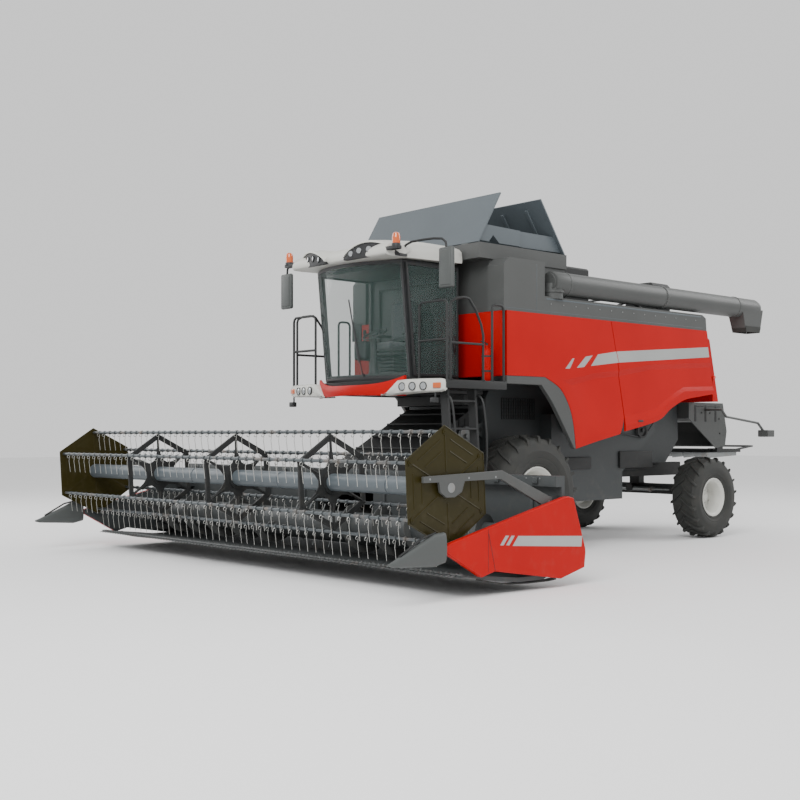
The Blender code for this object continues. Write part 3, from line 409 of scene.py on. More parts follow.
# ---------------------------------------------------------------- mesh tools
class Piece:
    """A mesh under construction: shapes are added, then it is dressed and set to ride."""

    def __init__(self, name: str) -> None:
        """Start an empty mesh."""
        self.name = name
        self.form = bmesh.new()

    def _join(self, rings: Sequence[Sequence], closed: bool = False) -> Piece:
        """Skin over rings of vertices that have as many corners each."""
        for one, two in zip(rings, [*rings[1:], rings[0]] if closed else rings[1:]):
            for step in range(len(one)):
                nxt = (step + 1) % len(one)
                self.form.faces.new((one[step], one[nxt], two[nxt], two[step]))
        return self

    def _cap(self, rings: Sequence[Sequence]) -> Piece:
        """Close the first and the last ring."""
        self.form.faces.new(rings[0][::-1])
        self.form.faces.new(rings[-1])
        return self

    def _points(self, places: Sequence[Sequence[float]], move: Sequence[float] = (0, 0, 0)) -> list:
        """Add vertices at places, moved by a vector."""
        return [self.form.verts.new(Vector(p) + Vector(move)) for p in places]

    def box(self, low: Sequence[float], high: Sequence[float], bevel: float = 0.0,
            turn: Matrix | None = None) -> Piece:
        """Add a box between two corners, with round edges, turned about its centre."""
        part = bmesh.new()
        bmesh.ops.create_cube(part, size=1.0)
        bmesh.ops.scale(part, vec=[abs(b - a) for a, b in zip(low, high)], verts=part.verts)
        if bevel:
            bmesh.ops.bevel(part, geom=part.edges[:], offset=bevel, segments=3,
                            affect="EDGES", profile=0.5)
        centre = Matrix.Translation([(a + b) / 2 for a, b in zip(low, high)])
        matrix = centre @ turn.to_4x4() if turn else centre
        bmesh.ops.transform(part, matrix=matrix, verts=part.verts)
        return self._merge(part)

    def boxes(self, count: int, low: Sequence[float], high: Sequence[float],
              shift: Sequence[float], bevel: float = 0.0) -> Piece:
        """Add equal boxes in a row, each moved on by a shift."""
        for step in range(count):
            move = Vector(shift) * step
            self.box(Vector(low) + move, Vector(high) + move, bevel)
        return self

    def _merge(self, part: bmesh.types.BMesh) -> Piece:
        """Join another bmesh into this one."""
        mesh = bpy.data.meshes.new("part")
        part.to_mesh(mesh)
        part.free()
        self.form.from_mesh(mesh)
        bpy.data.meshes.remove(mesh)
        return self

    def rod(self, start: Sequence[float], end: Sequence[float], radius: float, sides: int = 20,
            end_radius: float | None = None) -> Piece:
        """Add a round bar or a cone between two points."""
        first, last = Vector(start), Vector(end)
        run = last - first
        part = bmesh.new()
        bmesh.ops.create_cone(part, cap_ends=True, segments=sides, radius1=radius,
                              radius2=radius if end_radius is None else end_radius,
                              depth=run.length)
        turn = run.to_track_quat("Z", "Y").to_matrix().to_4x4()
        matrix = Matrix.Translation((first + last) / 2) @ turn
        bmesh.ops.transform(part, matrix=matrix, verts=part.verts)
        return self._merge(part)

    def tube(self, points: Sequence[Sequence[float]], radius: float, sides: int = 10,
             closed: bool = False) -> Piece:
        """Add a bent tube that follows a list of points."""
        path = [Vector(p) for p in points]
        count = len(path)
        rings = []
        side = None
        for index, here in enumerate(path):
            if closed:
                run = path[(index + 1) % count] - path[index - 1]
            else:
                run = path[min(index + 1, count - 1)] - path[max(index - 1, 0)]
            run.normalize()
            if side is None:
                side = run.orthogonal().normalized()
            side = (side - run * side.dot(run)).normalized()
            up = run.cross(side)
            rings.append(self._points([here + side * a + up * b for a, b in circle(sides, radius)]))
        self._join(rings, closed)
        return self if closed else self._cap(rings)

    def bolts(self, spots: Sequence[Point], reach: Sequence[float], radius: float,
              sides: int = 6) -> Piece:
        """Add equal short rods that start at spots and run the same way."""
        for spot in spots:
            self.rod(spot, Vector(spot) + Vector(reach), radius, sides)
        return self

    def turned(self, profile: Sequence[tuple[float, float]], centre: Sequence[float],
               axis: Sequence[float] = (1, 0, 0), steps: int = 64) -> Piece:
        """Add a (radius, offset) profile turned about an axis; a loop if it never meets it."""
        along = Vector(axis).normalized()
        side = along.orthogonal().normalized()
        up = along.cross(side)
        base = Vector(centre)
        rings = []
        for radius, offset in profile:
            if radius < 1e-6:
                rings.append([self.form.verts.new(base + along * offset)])
                continue
            rings.append(self._points([base + along * offset + side * a + up * b
                                       for a, b in circle(steps, radius)]))
        pairs = list(zip(rings, rings[1:]))
        if len(rings[0]) > 1 and len(rings[-1]) > 1:
            pairs.append((rings[-1], rings[0]))
        for one, two in pairs:
            for step in range(steps):
                nxt = (step + 1) % steps
                corners = [one[step % len(one)], one[nxt % len(one)],
                           two[nxt % len(two)], two[step % len(two)]]
                unique = list(dict.fromkeys(corners))
                if len(unique) > 2:
                    self.form.faces.new(unique)
        return self

    def sheet(self, outline: Sequence[Sequence[float]], push: Sequence[float]) -> Piece:
        """Add a flat outline given in 3D, thickened by a push vector."""
        rings = [self._points(outline), self._points(outline, push)]
        return self._join(rings)._cap(rings)

    def loft(self, rings: Sequence[Sequence[Sequence[float]]]) -> Piece:
        """Add a skin over rings of points, with both ends closed."""
        loops = [self._points(ring) for ring in rings]
        return self._join(loops)._cap(loops)

    def slab(self, front: Sequence[Sequence], back: Sequence[Sequence]) -> Piece:
        """Add a thick curved sheet between two grids of points."""
        one, two = ([self._points(row) for row in grid] for grid in (front, back))
        for grid in (one, two):
            for low, high in zip(grid, grid[1:]):
                for step in range(len(low) - 1):
                    self.form.faces.new((low[step], low[step + 1], high[step + 1], high[step]))
        return self._join([[*g[0], *(r[-1] for r in g[1:]), *g[-1][-2::-1], *(r[0] for r in g[-2:0:-1])]
                           for g in (one, two)])

    def ring(self, outer: Sequence[Point], inner: Sequence[Point], push: Sequence[float]) -> Piece:
        """Add a flat frame between two outlines, thickened by a push vector."""
        return self._join([self._points(outer), self._points(inner), self._points(inner, push),
                           self._points(outer, push)], True)

    def mesh(self) -> bpy.types.Mesh:
        """The shapes as one mesh, with their faces turned outward."""
        bmesh.ops.recalc_face_normals(self.form, faces=self.form.faces)
        mesh = bpy.data.meshes.new(self.name)
        self.form.to_mesh(mesh)
        self.form.free()
        return mesh

    def done(self, finish: Finish, body: str = "chassis", replaces: Sequence[str] = (),
             bevel: float = 0.0, smooth: float = 40.0) -> bpy.types.Object:
        """Finish the piece: mesh, material, ride and the nodes it stands for.

        Args:
            finish: what it is made of.
            body: the CAD body that it moves with.
            replaces: CAD nodes that it stands for.
            bevel: width of a rounding on its sharp edges.
            smooth: angle in degrees below which edges shade smooth.

        Returns:
            The object.
        """
        mesh = self.mesh()
        mesh.shade_smooth()
        mesh.set_sharp_from_angle(angle=math.radians(smooth))
        mesh.materials.append(material(finish))
        item = linked(self.name, mesh)
        if bevel:
            soften = item.modifiers.new("soften", "BEVEL")
            soften.width = bevel
            soften.segments = 2
            soften.limit_method = "ANGLE"
            soften.angle_limit = math.radians(35)
        if replaces:
            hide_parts(*replaces)
        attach(item, body)
        LOG.info("%s rides on %s", self.name, body)
        return item


def settled(item: bpy.types.Object) -> None:
    """Apply an object's modifiers to its mesh."""
    graph = bpy.context.evaluated_depsgraph_get()
    mesh = bpy.data.meshes.new_from_object(item.evaluated_get(graph))
    item.modifiers.clear()
    item.data = mesh


def paint_node(node: str, finish: Finish) -> None:
    """Give a kept CAD node its finish."""
    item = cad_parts[node]
    item.data.materials.clear()
    item.data.materials.append(material(finish))


# ---------------------------------------------------------------- wheels
@dataclass
class Wheel:
    """A lugged tyre on a dished rim."""

    name: str
    body: str
    tyre_node: str
    rim_node: str
    side: int
    lugs: int
    bolts: int
    lug_height: float = 0.036
    planet_hub: bool = False

    def build(self) -> None:
        """Make the tyre and the rim."""
        low, high = low_high(self.tyre_node)
        self.centre = (low + high) / 2
        self.radius = (high.z - low.z) / 2
        self.width = high.x - low.x
        rim_low, rim_high = low_high(self.rim_node)
        self.rim = (rim_high.z - rim_low.z) / 2
        self._tyre()
        self._rim()

    def _tyre(self) -> None:
        """The carcass with its sidewall rings and two rows of slanted lugs."""
        half, rim, out = self.width / 2, self.rim, self.radius
        base = out - self.lug_height
        wall = out - rim
        profile = [(rim + 0.004, -half * 0.80), (rim + 0.02, -half * 0.86),
                   (rim + 0.035, -half * 0.84), (rim + wall * 0.22, -half * 0.955),
                   (rim + wall * 0.27, -half * 0.955), (rim + wall * 0.29, -half * 0.975),
                   (rim + wall * 0.50, -half), (rim + wall * 0.52, -half * 0.985),
                   (rim + wall * 0.70, -half * 0.97), (base - 0.035, -half * 0.90),
                   (base - 0.008, -half * 0.78), (base, -half * 0.55), (base + 0.003, 0.0)]
        profile += [(r, -o) for r, o in reversed(profile[:-1])]
        piece = Piece(self.name + "_tyre")
        piece.turned(profile, self.centre, (1, 0, 0), 88)
        for index in range(self.lugs):
            for row in (-1, 1):
                angle = math.tau * (index + (0.5 if row > 0 else 0.0)) / self.lugs
                self._lug(piece, angle, row)
        piece.done(Finish.RUBBER, self.body, (self.tyre_node,), smooth=32)

    def _lug(self, piece: Piece, angle: float, row: int) -> None:
        """One lug: a bar from the tread's middle to the shoulder, swept as it goes out."""
        half, out = self.width / 2, self.radius - 0.001
        base = out - self.lug_height - 0.012
        stations = ((-0.04, 0.0, 1.0), (0.45, 0.14, 0.995), (0.80, 0.215, 0.985),
                    (0.96, 0.245, 0.955))
        thick = 0.021 * self.radius / 0.84
        rings = []
        for reach, sweep, lift in stations:
            turn = angle + sweep * 0.84 / self.radius * 0.95
            ring = []
            root = base * lift - (0.03 if reach > 0.9 else 0.0)
            for radius, spread in ((root, -1.45), (root, 1.45), (out * lift, 1.0), (out * lift, -1.0)):
                local = turn + thick * spread / self.radius
                ring.append(self.centre + Vector((row * reach * half, radius * math.cos(local),
                                                  radius * math.sin(local))))
            rings.append(ring)
        piece.loft(rings)

    def _rim(self) -> None:
        """The dished rim, its centre disc with bolts, and the hub."""
        half, rim, s = self.width / 2, self.rim, self.side
        dish = -0.16 if self.planet_hub else -0.07
        lip = half * 0.84
        profile = [(0.0, dish), (rim * 0.52, dish), (rim * 0.56, dish + 0.012),
                   (rim * 0.66, dish + 0.020), (rim * 0.72, dish + 0.06), (rim - 0.085, dish + 0.09),
                   (rim - 0.075, lip * 0.55), (rim - 0.055, lip * 0.82), (rim - 0.030, lip * 0.90),
                   (rim - 0.024, lip * 0.97), (rim - 0.010, lip), (rim - 0.001, lip * 0.965),
                   (rim - 0.006, lip * 0.93), (rim - 0.004, 0.0), (rim - 0.004, -lip * 0.93),
                   (rim - 0.004, -lip), (rim - 0.02, -lip), (rim - 0.04, -lip * 0.88),
                   (rim - 0.075, -lip * 0.7), (rim - 0.09, dish - 0.02), (0.0, dish - 0.028)]
        piece = Piece(self.name + "_rim")
        piece.turned(profile, self.centre, (s, 0, 0), 72)
        face = self.centre.x + s * dish

        def bolts(count: int, reach: float, start: float, root: float, long: float,
                  radius: float, sides: int) -> None:
            """A circle of bolts or holes on the wheel's face."""
            spots = [(face + s * root, self.centre.y + a, self.centre.z + b)
                     for a, b in circle(count, reach, start)]
            piece.bolts(spots, (s * long, 0, 0), radius, sides)

        bolts(self.bolts, rim * 0.42, 0, -0.004, 0.026, 0.017, 6)
        bolts(self.bolts, rim * 0.42, 0, 0.02, 0.014, 0.010, 8)
        hub_r = rim * 0.32
        hub = [(0.0, 0.10), (hub_r * 0.45, 0.10), (hub_r * 0.52, 0.088), (hub_r * 0.86, 0.082),
               (hub_r * 0.96, 0.070), (hub_r, 0.05), (hub_r, -0.01), (0.0, -0.01)]
        piece.turned(hub, (face, self.centre.y, self.centre.z), (s, 0, 0), 40)
        bolts(8, hub_r * 0.7, 0.5, 0.08, 0.012, 0.009, 6)
        bolts(8, rim * 0.69, 0.5, 0.03, 0.015, 0.022, 16)
        piece.done(Finish.RIM, self.body, (self.rim_node,), smooth=35)


# ---------------------------------------------------------------- reel
@dataclass
class Reel:
    """Tine bars with their tines, spiders, tube and pressed end shields."""

    tine_pitch: float = 0.155
    tine_drop: float = 0.235
    bars: int = 6
    axis_place: tuple = (-3.953, 1.141)
    first_ray: float = 33.2
    spiders_x: tuple = (-1.90, 0.0, 1.90)
    shield_x: float = 3.7555

    def build(self) -> None:
        """Make the rotor's look and a row of tines on each bar."""
        self.axis = Vector(at(0.0, *self.axis_place))
        for index in range(self.bars):
            self._bar(index)
        self._rotor()

    def _bar(self, index: int) -> None:
        """One bar with its clamped spring tines, hanging straight down."""
        node = "tine_bar_%d" % (index + 1)
        low, high = low_high(node)
        y, z = (low.y + high.y) / 2, (low.z + high.z) / 2
        radius = (high.z - low.z) / 2
        bar = Piece(node + "_tube")
        bar.rod((low.x, y, z), (high.x, y, z), radius - 0.0005, 20)
        count = int((high.x - low.x - 0.10) / self.tine_pitch)
        start = -(count - 1) * self.tine_pitch / 2
        tines = Piece(node + "_tines")
        for step in range(count):
            x = start + step * self.tine_pitch
            if any(abs(x - spider) < 0.022 for spider in self.spiders_x):
                x += 0.03
            bar.rod((x - 0.018, y, z), (x + 0.018, y, z), radius + 0.007, 12)
            top = z - radius - 0.005
            coil = [(x + b * 0.3, y - 0.020 + a, top - 0.014 + b) for a, b in circle(8, 0.020)]
            tines.tube([*coil, coil[0]], 0.0040, 6)
            tines.tube([(x, y - 0.004, top - 0.030), (x, y - 0.012, top - 0.075),
                        (x, y - 0.002, top - 0.14), (x, y + 0.010, top - self.tine_drop)], 0.0036, 6)
        bar.done(Finish.BAR, node, (node,))
        tines.done(Finish.TINE, node)

    def _corner(self, index: int, reach: float) -> tuple[float, float]:
        """Y and Z of a point on the ray through one bar, at a distance from the axis."""
        angle = math.radians(self.first_ray + 60 * index)
        return (self.axis.y + reach * math.cos(angle), self.axis.z + reach * math.sin(angle))

    def _hexagon(self, x: float, reach: float) -> list[Point]:
        """The six corners at one x."""
        return [(x, *self._corner(index, reach)) for index in range(6)]

    def _rotor(self) -> None:
        """The tube and spiders, and the end shields with their pressed ribs."""
        low, high = low_high("reel_rotor")
        y, z = self.axis.y, self.axis.z
        tube = Piece("reel_tube")
        tube.rod((low.x + 0.03, y, z), (high.x - 0.03, y, z), 0.099, 48)
        for x in (-2.9, -0.95, 0.95, 2.9):
            tube.rod((x - 0.015, y, z), (x + 0.015, y, z), 0.104, 48)
        tube.done(Finish.BLUE_GREY, "reel", ("reel_rotor",))
        spiders = Piece("reel_spiders")
        for x in self.spiders_x:
            self._spider(spiders, x)
        spiders.done(Finish.FRAME, "reel")
        for side, hand in SIDES:
            self._shield(side, hand)

    def _spider(self, spiders: Piece, x: float) -> None:
        """A pressed disc: hexagonal rim, six spokes and webs between them at the hub."""
        spiders.ring(self._hexagon(x - 0.012, 0.541), self._hexagon(x - 0.012, 0.478), (0.024, 0, 0))
        spiders.tube(self._hexagon(x, 0.540), 0.015, 8, True)
        web = []
        for index in range(6):
            for turn, reach in ((-0.30, 0.20), (-0.12, 0.27), (-0.055, 0.36), (-0.045, 0.50),
                                (0.045, 0.50), (0.055, 0.36), (0.12, 0.27), (0.30, 0.20)):
                angle = math.radians(self.first_ray + 60 * index) + turn * 0.45 / reach ** 0.6
                web.append((x - 0.005, self.axis.y + reach * math.cos(angle),
                            self.axis.z + reach * math.sin(angle)))
        spiders.sheet(web, (0.010, 0, 0))
        spiders.rod((x - 0.022, self.axis.y, self.axis.z), (x + 0.022, self.axis.y, self.axis.z),
                    0.135, 32)
        for index in range(6):
            inner, tip = self._corner(index, 0.24), self._corner(index, 0.5478)
            for off in (-0.008, 0.008):
                spiders.tube([(x + off, *inner), (x + off, *tip)], 0.011, 8)
            clamp = self._corner(index, 0.50)
            spiders.rod((x - 0.018, *clamp), (x + 0.018, *clamp), 0.020, 12)

    def _shield(self, side: int, hand: str) -> None:
        """One hexagonal shield: a flanged sheet with ribs pressed into six fields."""
        x = side * self.shield_x
        plate = Piece("reel_shield_" + hand)
        plate.sheet(self._hexagon(x, 0.638), (side * 0.006, 0, 0))
        face = x + side * 0.006
        for index in range(6):
            for reach, radius, inset in ((0.632, 0.0065, 0.0), (0.53, 0.007, 0.16), (0.40, 0.007, 0.16)):
                a, b = (Vector((face, *self._corner(index + turn, reach))) for turn in (0, 1))
                plate.tube([a.lerp(b, inset), a.lerp(b, 1 - inset)], radius, 8)
            plate.tube([(face, *self._corner(index, reach)) for reach in (0.16, 0.55)], 0.008, 8)
            bar = self._corner(index, 0.569)
            plate.rod((face, *bar), (face + side * 0.010, *bar), 0.030, 20)
            plate.rod((face, *bar), (face + side * 0.016, *bar), 0.012, 8)
        plate.rod((face - side * 0.002, self.axis.y, self.axis.z),
                  (face + side * 0.014, self.axis.y, self.axis.z), 0.12, 40)
        plate.rod((face + side * 0.012, self.axis.y, self.axis.z),
                  (face + side * 0.0275, self.axis.y, self.axis.z), 0.055, 32)
        plate.done(Finish.SHIELD, "reel", smooth=30)


# ---------------------------------------------------------------- header
@dataclass
class Header:
    """Table details: knife, trough, end panels, dividers, arms and intake."""

    finger_pitch: float = 0.0762
    half: float = 3.83
    intake_place: tuple = (-2.78, 0.50)

    def build(self) -> None:
        """Make every piece of the header."""
        self._knife()
        self._table_ribs()
        self._ends()
        self._dividers()
        self._intake()
        self._feeder()
        self._arms()
        paint_node("header_frame", Finish.TABLE)
        paint_node("feeder_house", Finish.FRAME)

    def _knife(self) -> None:
        """Guard fingers with the knife's sections between them."""
        piece = Piece("knife_fingers")
        count = int(2 * (self.half - 0.05) / self.finger_pitch)
        start = -(count - 1) * self.finger_pitch / 2
        for step in range(count):
            x = start + step * self.finger_pitch
            root, tip = at(x, -3.785, 0.243), at(x, -3.895, 0.222)
            piece.rod(root, tip, 0.013, 8, 0.003)
            piece.sheet([at(x - 0.036, -3.80, 0.246), at(x + 0.036, -3.80, 0.246),
                         at(x + 0.008, -3.868, 0.246), at(x - 0.008, -3.868, 0.246)], (0, 0, 0.003))
        piece.box(at(-self.half + 0.02, -3.812, 0.2405), at(self.half - 0.02, -3.775, 0.2475))
        piece.done(Finish.STEEL, "header")

    def _table_ribs(self) -> None:
        """The back wall's upper tube, stiffeners and folded seams."""
        piece = Piece("table_ribs")
        piece.box(at(-self.half + 0.01, -2.343, 1.105), at(self.half - 0.01, -2.338, 1.215), 0.002)
        for first in (-3.40, 0.85):
            piece.boxes(4, at(first - 0.02, -2.262, 0.42), at(first + 0.02, -2.238, 1.10),
                        (0.85, 0, 0), 0.006)
        piece.boxes(13, at(-3.575, -2.37, 1.13), at(-3.505, -2.343, 1.20), (0.59, 0, 0), 0.006)
        piece.done(Finish.TABLE, "header")
        bolts = Piece("table_bolts")
        for step in range(-18, 19):
            bolts.bolts([at(step * 0.2, -2.348, 1.19)], (0, 0.008, 0), 0.010)
            bolts.bolts([at(step * 0.2, -3.60, 0.222)], (0, 0, 0.010), 0.010)
        bolts.done(Finish.STEEL, "header")

    def _ends(self) -> None:
        """Red end panels with folded edges, a seam, stripes and a skid."""
        outline = [(-4.098, 0.50), (-4.098, 0.56), (-4.04, 0.583), (-2.28, 0.986), (-2.20, 0.995),
                   (-2.113, 0.975), (-1.908, 0.40), (-1.904, 0.35), (-1.925, 0.19),
                   (-2.329, 0.094), (-3.383, 0.256), (-3.580, 0.208)]
        for side, hand in SIDES:
            x = side * (self.half + 0.002)
            panel = Piece("end_sheet_" + hand)
            panel.sheet(flat(x, outline), (side * 0.066, 0, 0))
            panel.done(Finish.RED, "header", ("end_panel_" + hand,), bevel=0.008)
            face = side * (self.half + 0.0685)
            seam = Piece("end_seam_" + hand)
            seam.box(at(face - 0.0015, -3.487, 0.26), at(face + 0.0015, -3.483, 0.70))
            seam.tube([at(face, -3.48, 0.655), at(face, -3.383, 0.262)], 0.003, 6)
            seam.done(Finish.FRAME, "header")
            stripe = Piece("end_stripe_" + hand)
            stripe.sheet(flat(face, [(-3.12, 0.505), (-1.985, 0.427), (-1.969, 0.545), (-3.03, 0.606)]),
                         (side * 0.0015, 0, 0))
            slant = ((-3.12, 0.512), (-3.07, 0.508), (-2.985, 0.605), (-3.035, 0.609))
            for shift in (0.10, 0.19):
                stripe.sheet(flat(face, [(y - shift, z + shift * 0.06) for y, z in slant]),
                             (side * 0.0015, 0, 0))
            stripe.done(Finish.SILVER, "header")
            lining = Piece("end_lining_" + hand)
            lining.sheet(flat(side * (self.half + 0.0025), outline), (-side * 0.004, 0, 0))
            lining.done(Finish.TABLE, "header")
            skid = Piece("skid_" + hand)
            low = side * (self.half - 0.10)
            curve = [(-3.50, 0.16), (-3.30, 0.115), (-3.10, 0.085), (-2.80, 0.072), (-2.45, 0.068),
                     (-2.32, 0.078)]
            for (ya, za), (yb, zb) in zip(curve, curve[1:]):
                skid.sheet(flat(low, [(ya, za), (yb, zb), (yb, zb + 0.014), (ya, za + 0.014)]),
                           (side * 0.09, 0, 0))
            skid.done(Finish.FRAME, "header")

    def _dividers(self) -> None:
        """Long pointed snouts: a lofted wedge that narrows to its tip."""
        stations = [(-4.846, 0.426, 0.010, 0.010), (-4.78, 0.428, 0.030, 0.030),
                    (-4.60, 0.462, 0.040, 0.075), (-4.40, 0.500, 0.046, 0.125),
                    (-4.25, 0.530, 0.050, 0.165), (-4.11, 0.550, 0.052, 0.155)]
        for side, hand in SIDES:
            centre = side * (self.half + 0.045)
            piece = Piece("divider_snout_" + hand)
            piece.loft([[at(centre + wide * math.copysign(abs(a) ** 0.6, a), y,
                            z + tall * math.copysign(abs(b) ** 0.7, b)) for a, b in circle(16, 1.0)]
                        for y, z, wide, tall in stations])
            piece.done(Finish.MOULD_GREY, "header", ("crop_divider_" + hand,), smooth=50)
            rod = Piece("divider_rod_" + hand)
            rod.tube([at(centre, -4.70, 0.50), at(centre, -4.40, 0.66), at(centre, -4.22, 0.70)],
                     0.012, 8)
            rod.done(Finish.FRAME, "header")

    def _intake(self) -> None:
        """The intake drum with fine helical flights and centre fingers."""
        low, high = low_high("intake_auger")
        _, y, z = at(0.0, *self.intake_place)
        drum = Piece("intake_drum")
        drum.rod((low.x + 0.002, y, z), (high.x - 0.002, y, z), 0.199, 56)
        drum.done(Finish.TABLE, "intake", ("intake_auger",))
        flights = Piece("intake_flights")
        pitch, reach, thick = 0.58, 0.294, 0.006
        length = high.x - 0.70 - 0.03
        steps = 36
        for side in (1, -1):
            rings = []
            for index in range(int(steps * length / pitch) + 1):
                angle = side * math.tau * index / steps
                x = side * (0.70 + pitch * index / steps)
                rings.append([(x + off, y + radius * math.cos(angle), z + radius * math.sin(angle))
                              for radius, off in ((0.19, -thick), (reach, -thick), (reach, thick),
                                                  (0.19, thick))])
            flights.loft(rings)
        flights.done(Finish.GREY, "intake")
        fingers = Piece("intake_fingers")
        for row in range(12):
            for turn in range(2):
                angle = math.tau * (row * 0.17 + turn * 0.5)
                x = -0.58 + row * 0.105
                out = Vector((0.0, math.cos(angle), math.sin(angle)))
                place = Vector((x, y, z))
                fingers.rod(place + out * 0.18, place + out * 0.285, 0.008, 8)
        fingers.done(Finish.STEEL, "intake")

    @staticmethod
    def _feeder_span(y: float) -> tuple[float, float]:
        """Lower and upper face of the sloping feeder house at one y."""
        return 0.32 + (y + 2.19) * 0.649, 1.06 + (y + 2.19) * 0.569

    def _feeder(self) -> None:
        """Ribs, side drive covers and the red guard along the feeder house."""
        ribs = Piece("feeder_ribs")
        for y in (-2.05, -1.75, -1.45, -1.15, -0.85, -0.60):
            _, z = self._feeder_span(y)
            ribs.box(at(-0.67, y - 0.02, z - 0.004), at(0.67, y + 0.02, z + 0.022), 0.006)
        for side in (1, -1):
            for y in (-2.00, -1.55, -1.10, -0.70):
                low, high = self._feeder_span(y)
                ribs.box(at(side * 0.679, y - 0.02, low + 0.02),
                         at(side * 0.70, y + 0.02, high - 0.02), 0.004)
        ribs.done(Finish.FRAME, "header")
        guard = Piece("feeder_guard")
        run = [(-1.92, 0.80), (-1.92, 0.95), (-0.95, 1.66), (-0.80, 1.64), (-0.80, 1.46)]
        guard.sheet(flat(0.70, run), (0.05, 0, 0))
        guard.done(Finish.RED, "header", bevel=0.01)
        pulley = Piece("feeder_pulley")
        centre = at(0.70, -0.62, 1.66)
        pulley.turned([(0.0, 0.06), (0.03, 0.06), (0.035, 0.02), (0.10, 0.02), (0.12, 0.045),
                       (0.13, 0.045), (0.115, 0.025), (0.13, 0.004), (0.0, 0.004)], centre, (1, 0, 0), 40)
        pulley.done(Finish.STEEL, "header")

    def _arms(self) -> None:
        """Reel arms as folded box sections with their bearings."""
        top = [(-4.335, 1.199), (-4.335, 1.262), (-3.20, 1.302), (-2.402, 0.988), (-2.402, 0.884),
               (-2.498, 0.884), (-3.22, 1.212), (-3.758, 1.203), (-3.80, 1.094), (-3.90, 1.043),
               (-4.018, 1.043), (-4.098, 1.094), (-4.122, 1.199)]
        for side, hand in SIDES:
            arm = Piece("lift_arm_" + hand)
            arm.sheet(flat(side * 3.791, top), (side * 0.037, 0, 0))
            arm.done(Finish.GREY, "reel_arms", ("reel_arm_" + hand,), bevel=0.004)
            hub = Piece("reel_bearing_" + hand)
            for place, radius, sides in ((Reel.axis_place, 0.05, 28), ((-2.45, 0.93), 0.028, 20)):
                hub.rod(at(side * 3.82, *place), at(side * 3.8295, *place), radius, sides)
            hub.bolts(flat(side * 3.82, [(y, 1.235) for y in (-4.25, -3.70, -3.30)]),
                      (side * 0.0085, 0, 0), 0.012, 8)
            hub.done(Finish.STEEL, "reel_arms")


# ---------------------------------------------------------------- body panels
def spline(points: Sequence[tuple[float, float]], steps: int = 6) -> list[tuple[float, float]]:
    """A smooth run through flat points."""
    ends = [points[0], *points, points[-1]]
    run = []
    for a, b, c, d in zip(ends, ends[1:], ends[2:], ends[3:]):
        for step in range(steps):
            t = step / steps
            run.append(tuple(
                0.5 * (2 * q + (r - p) * t + (2 * p - 5 * q + 4 * r - s) * t * t
                       + (3 * q - p - 3 * r + s) * t ** 3)
                for p, q, r, s in zip(a, b, c, d)))
    return run + [points[-1]]


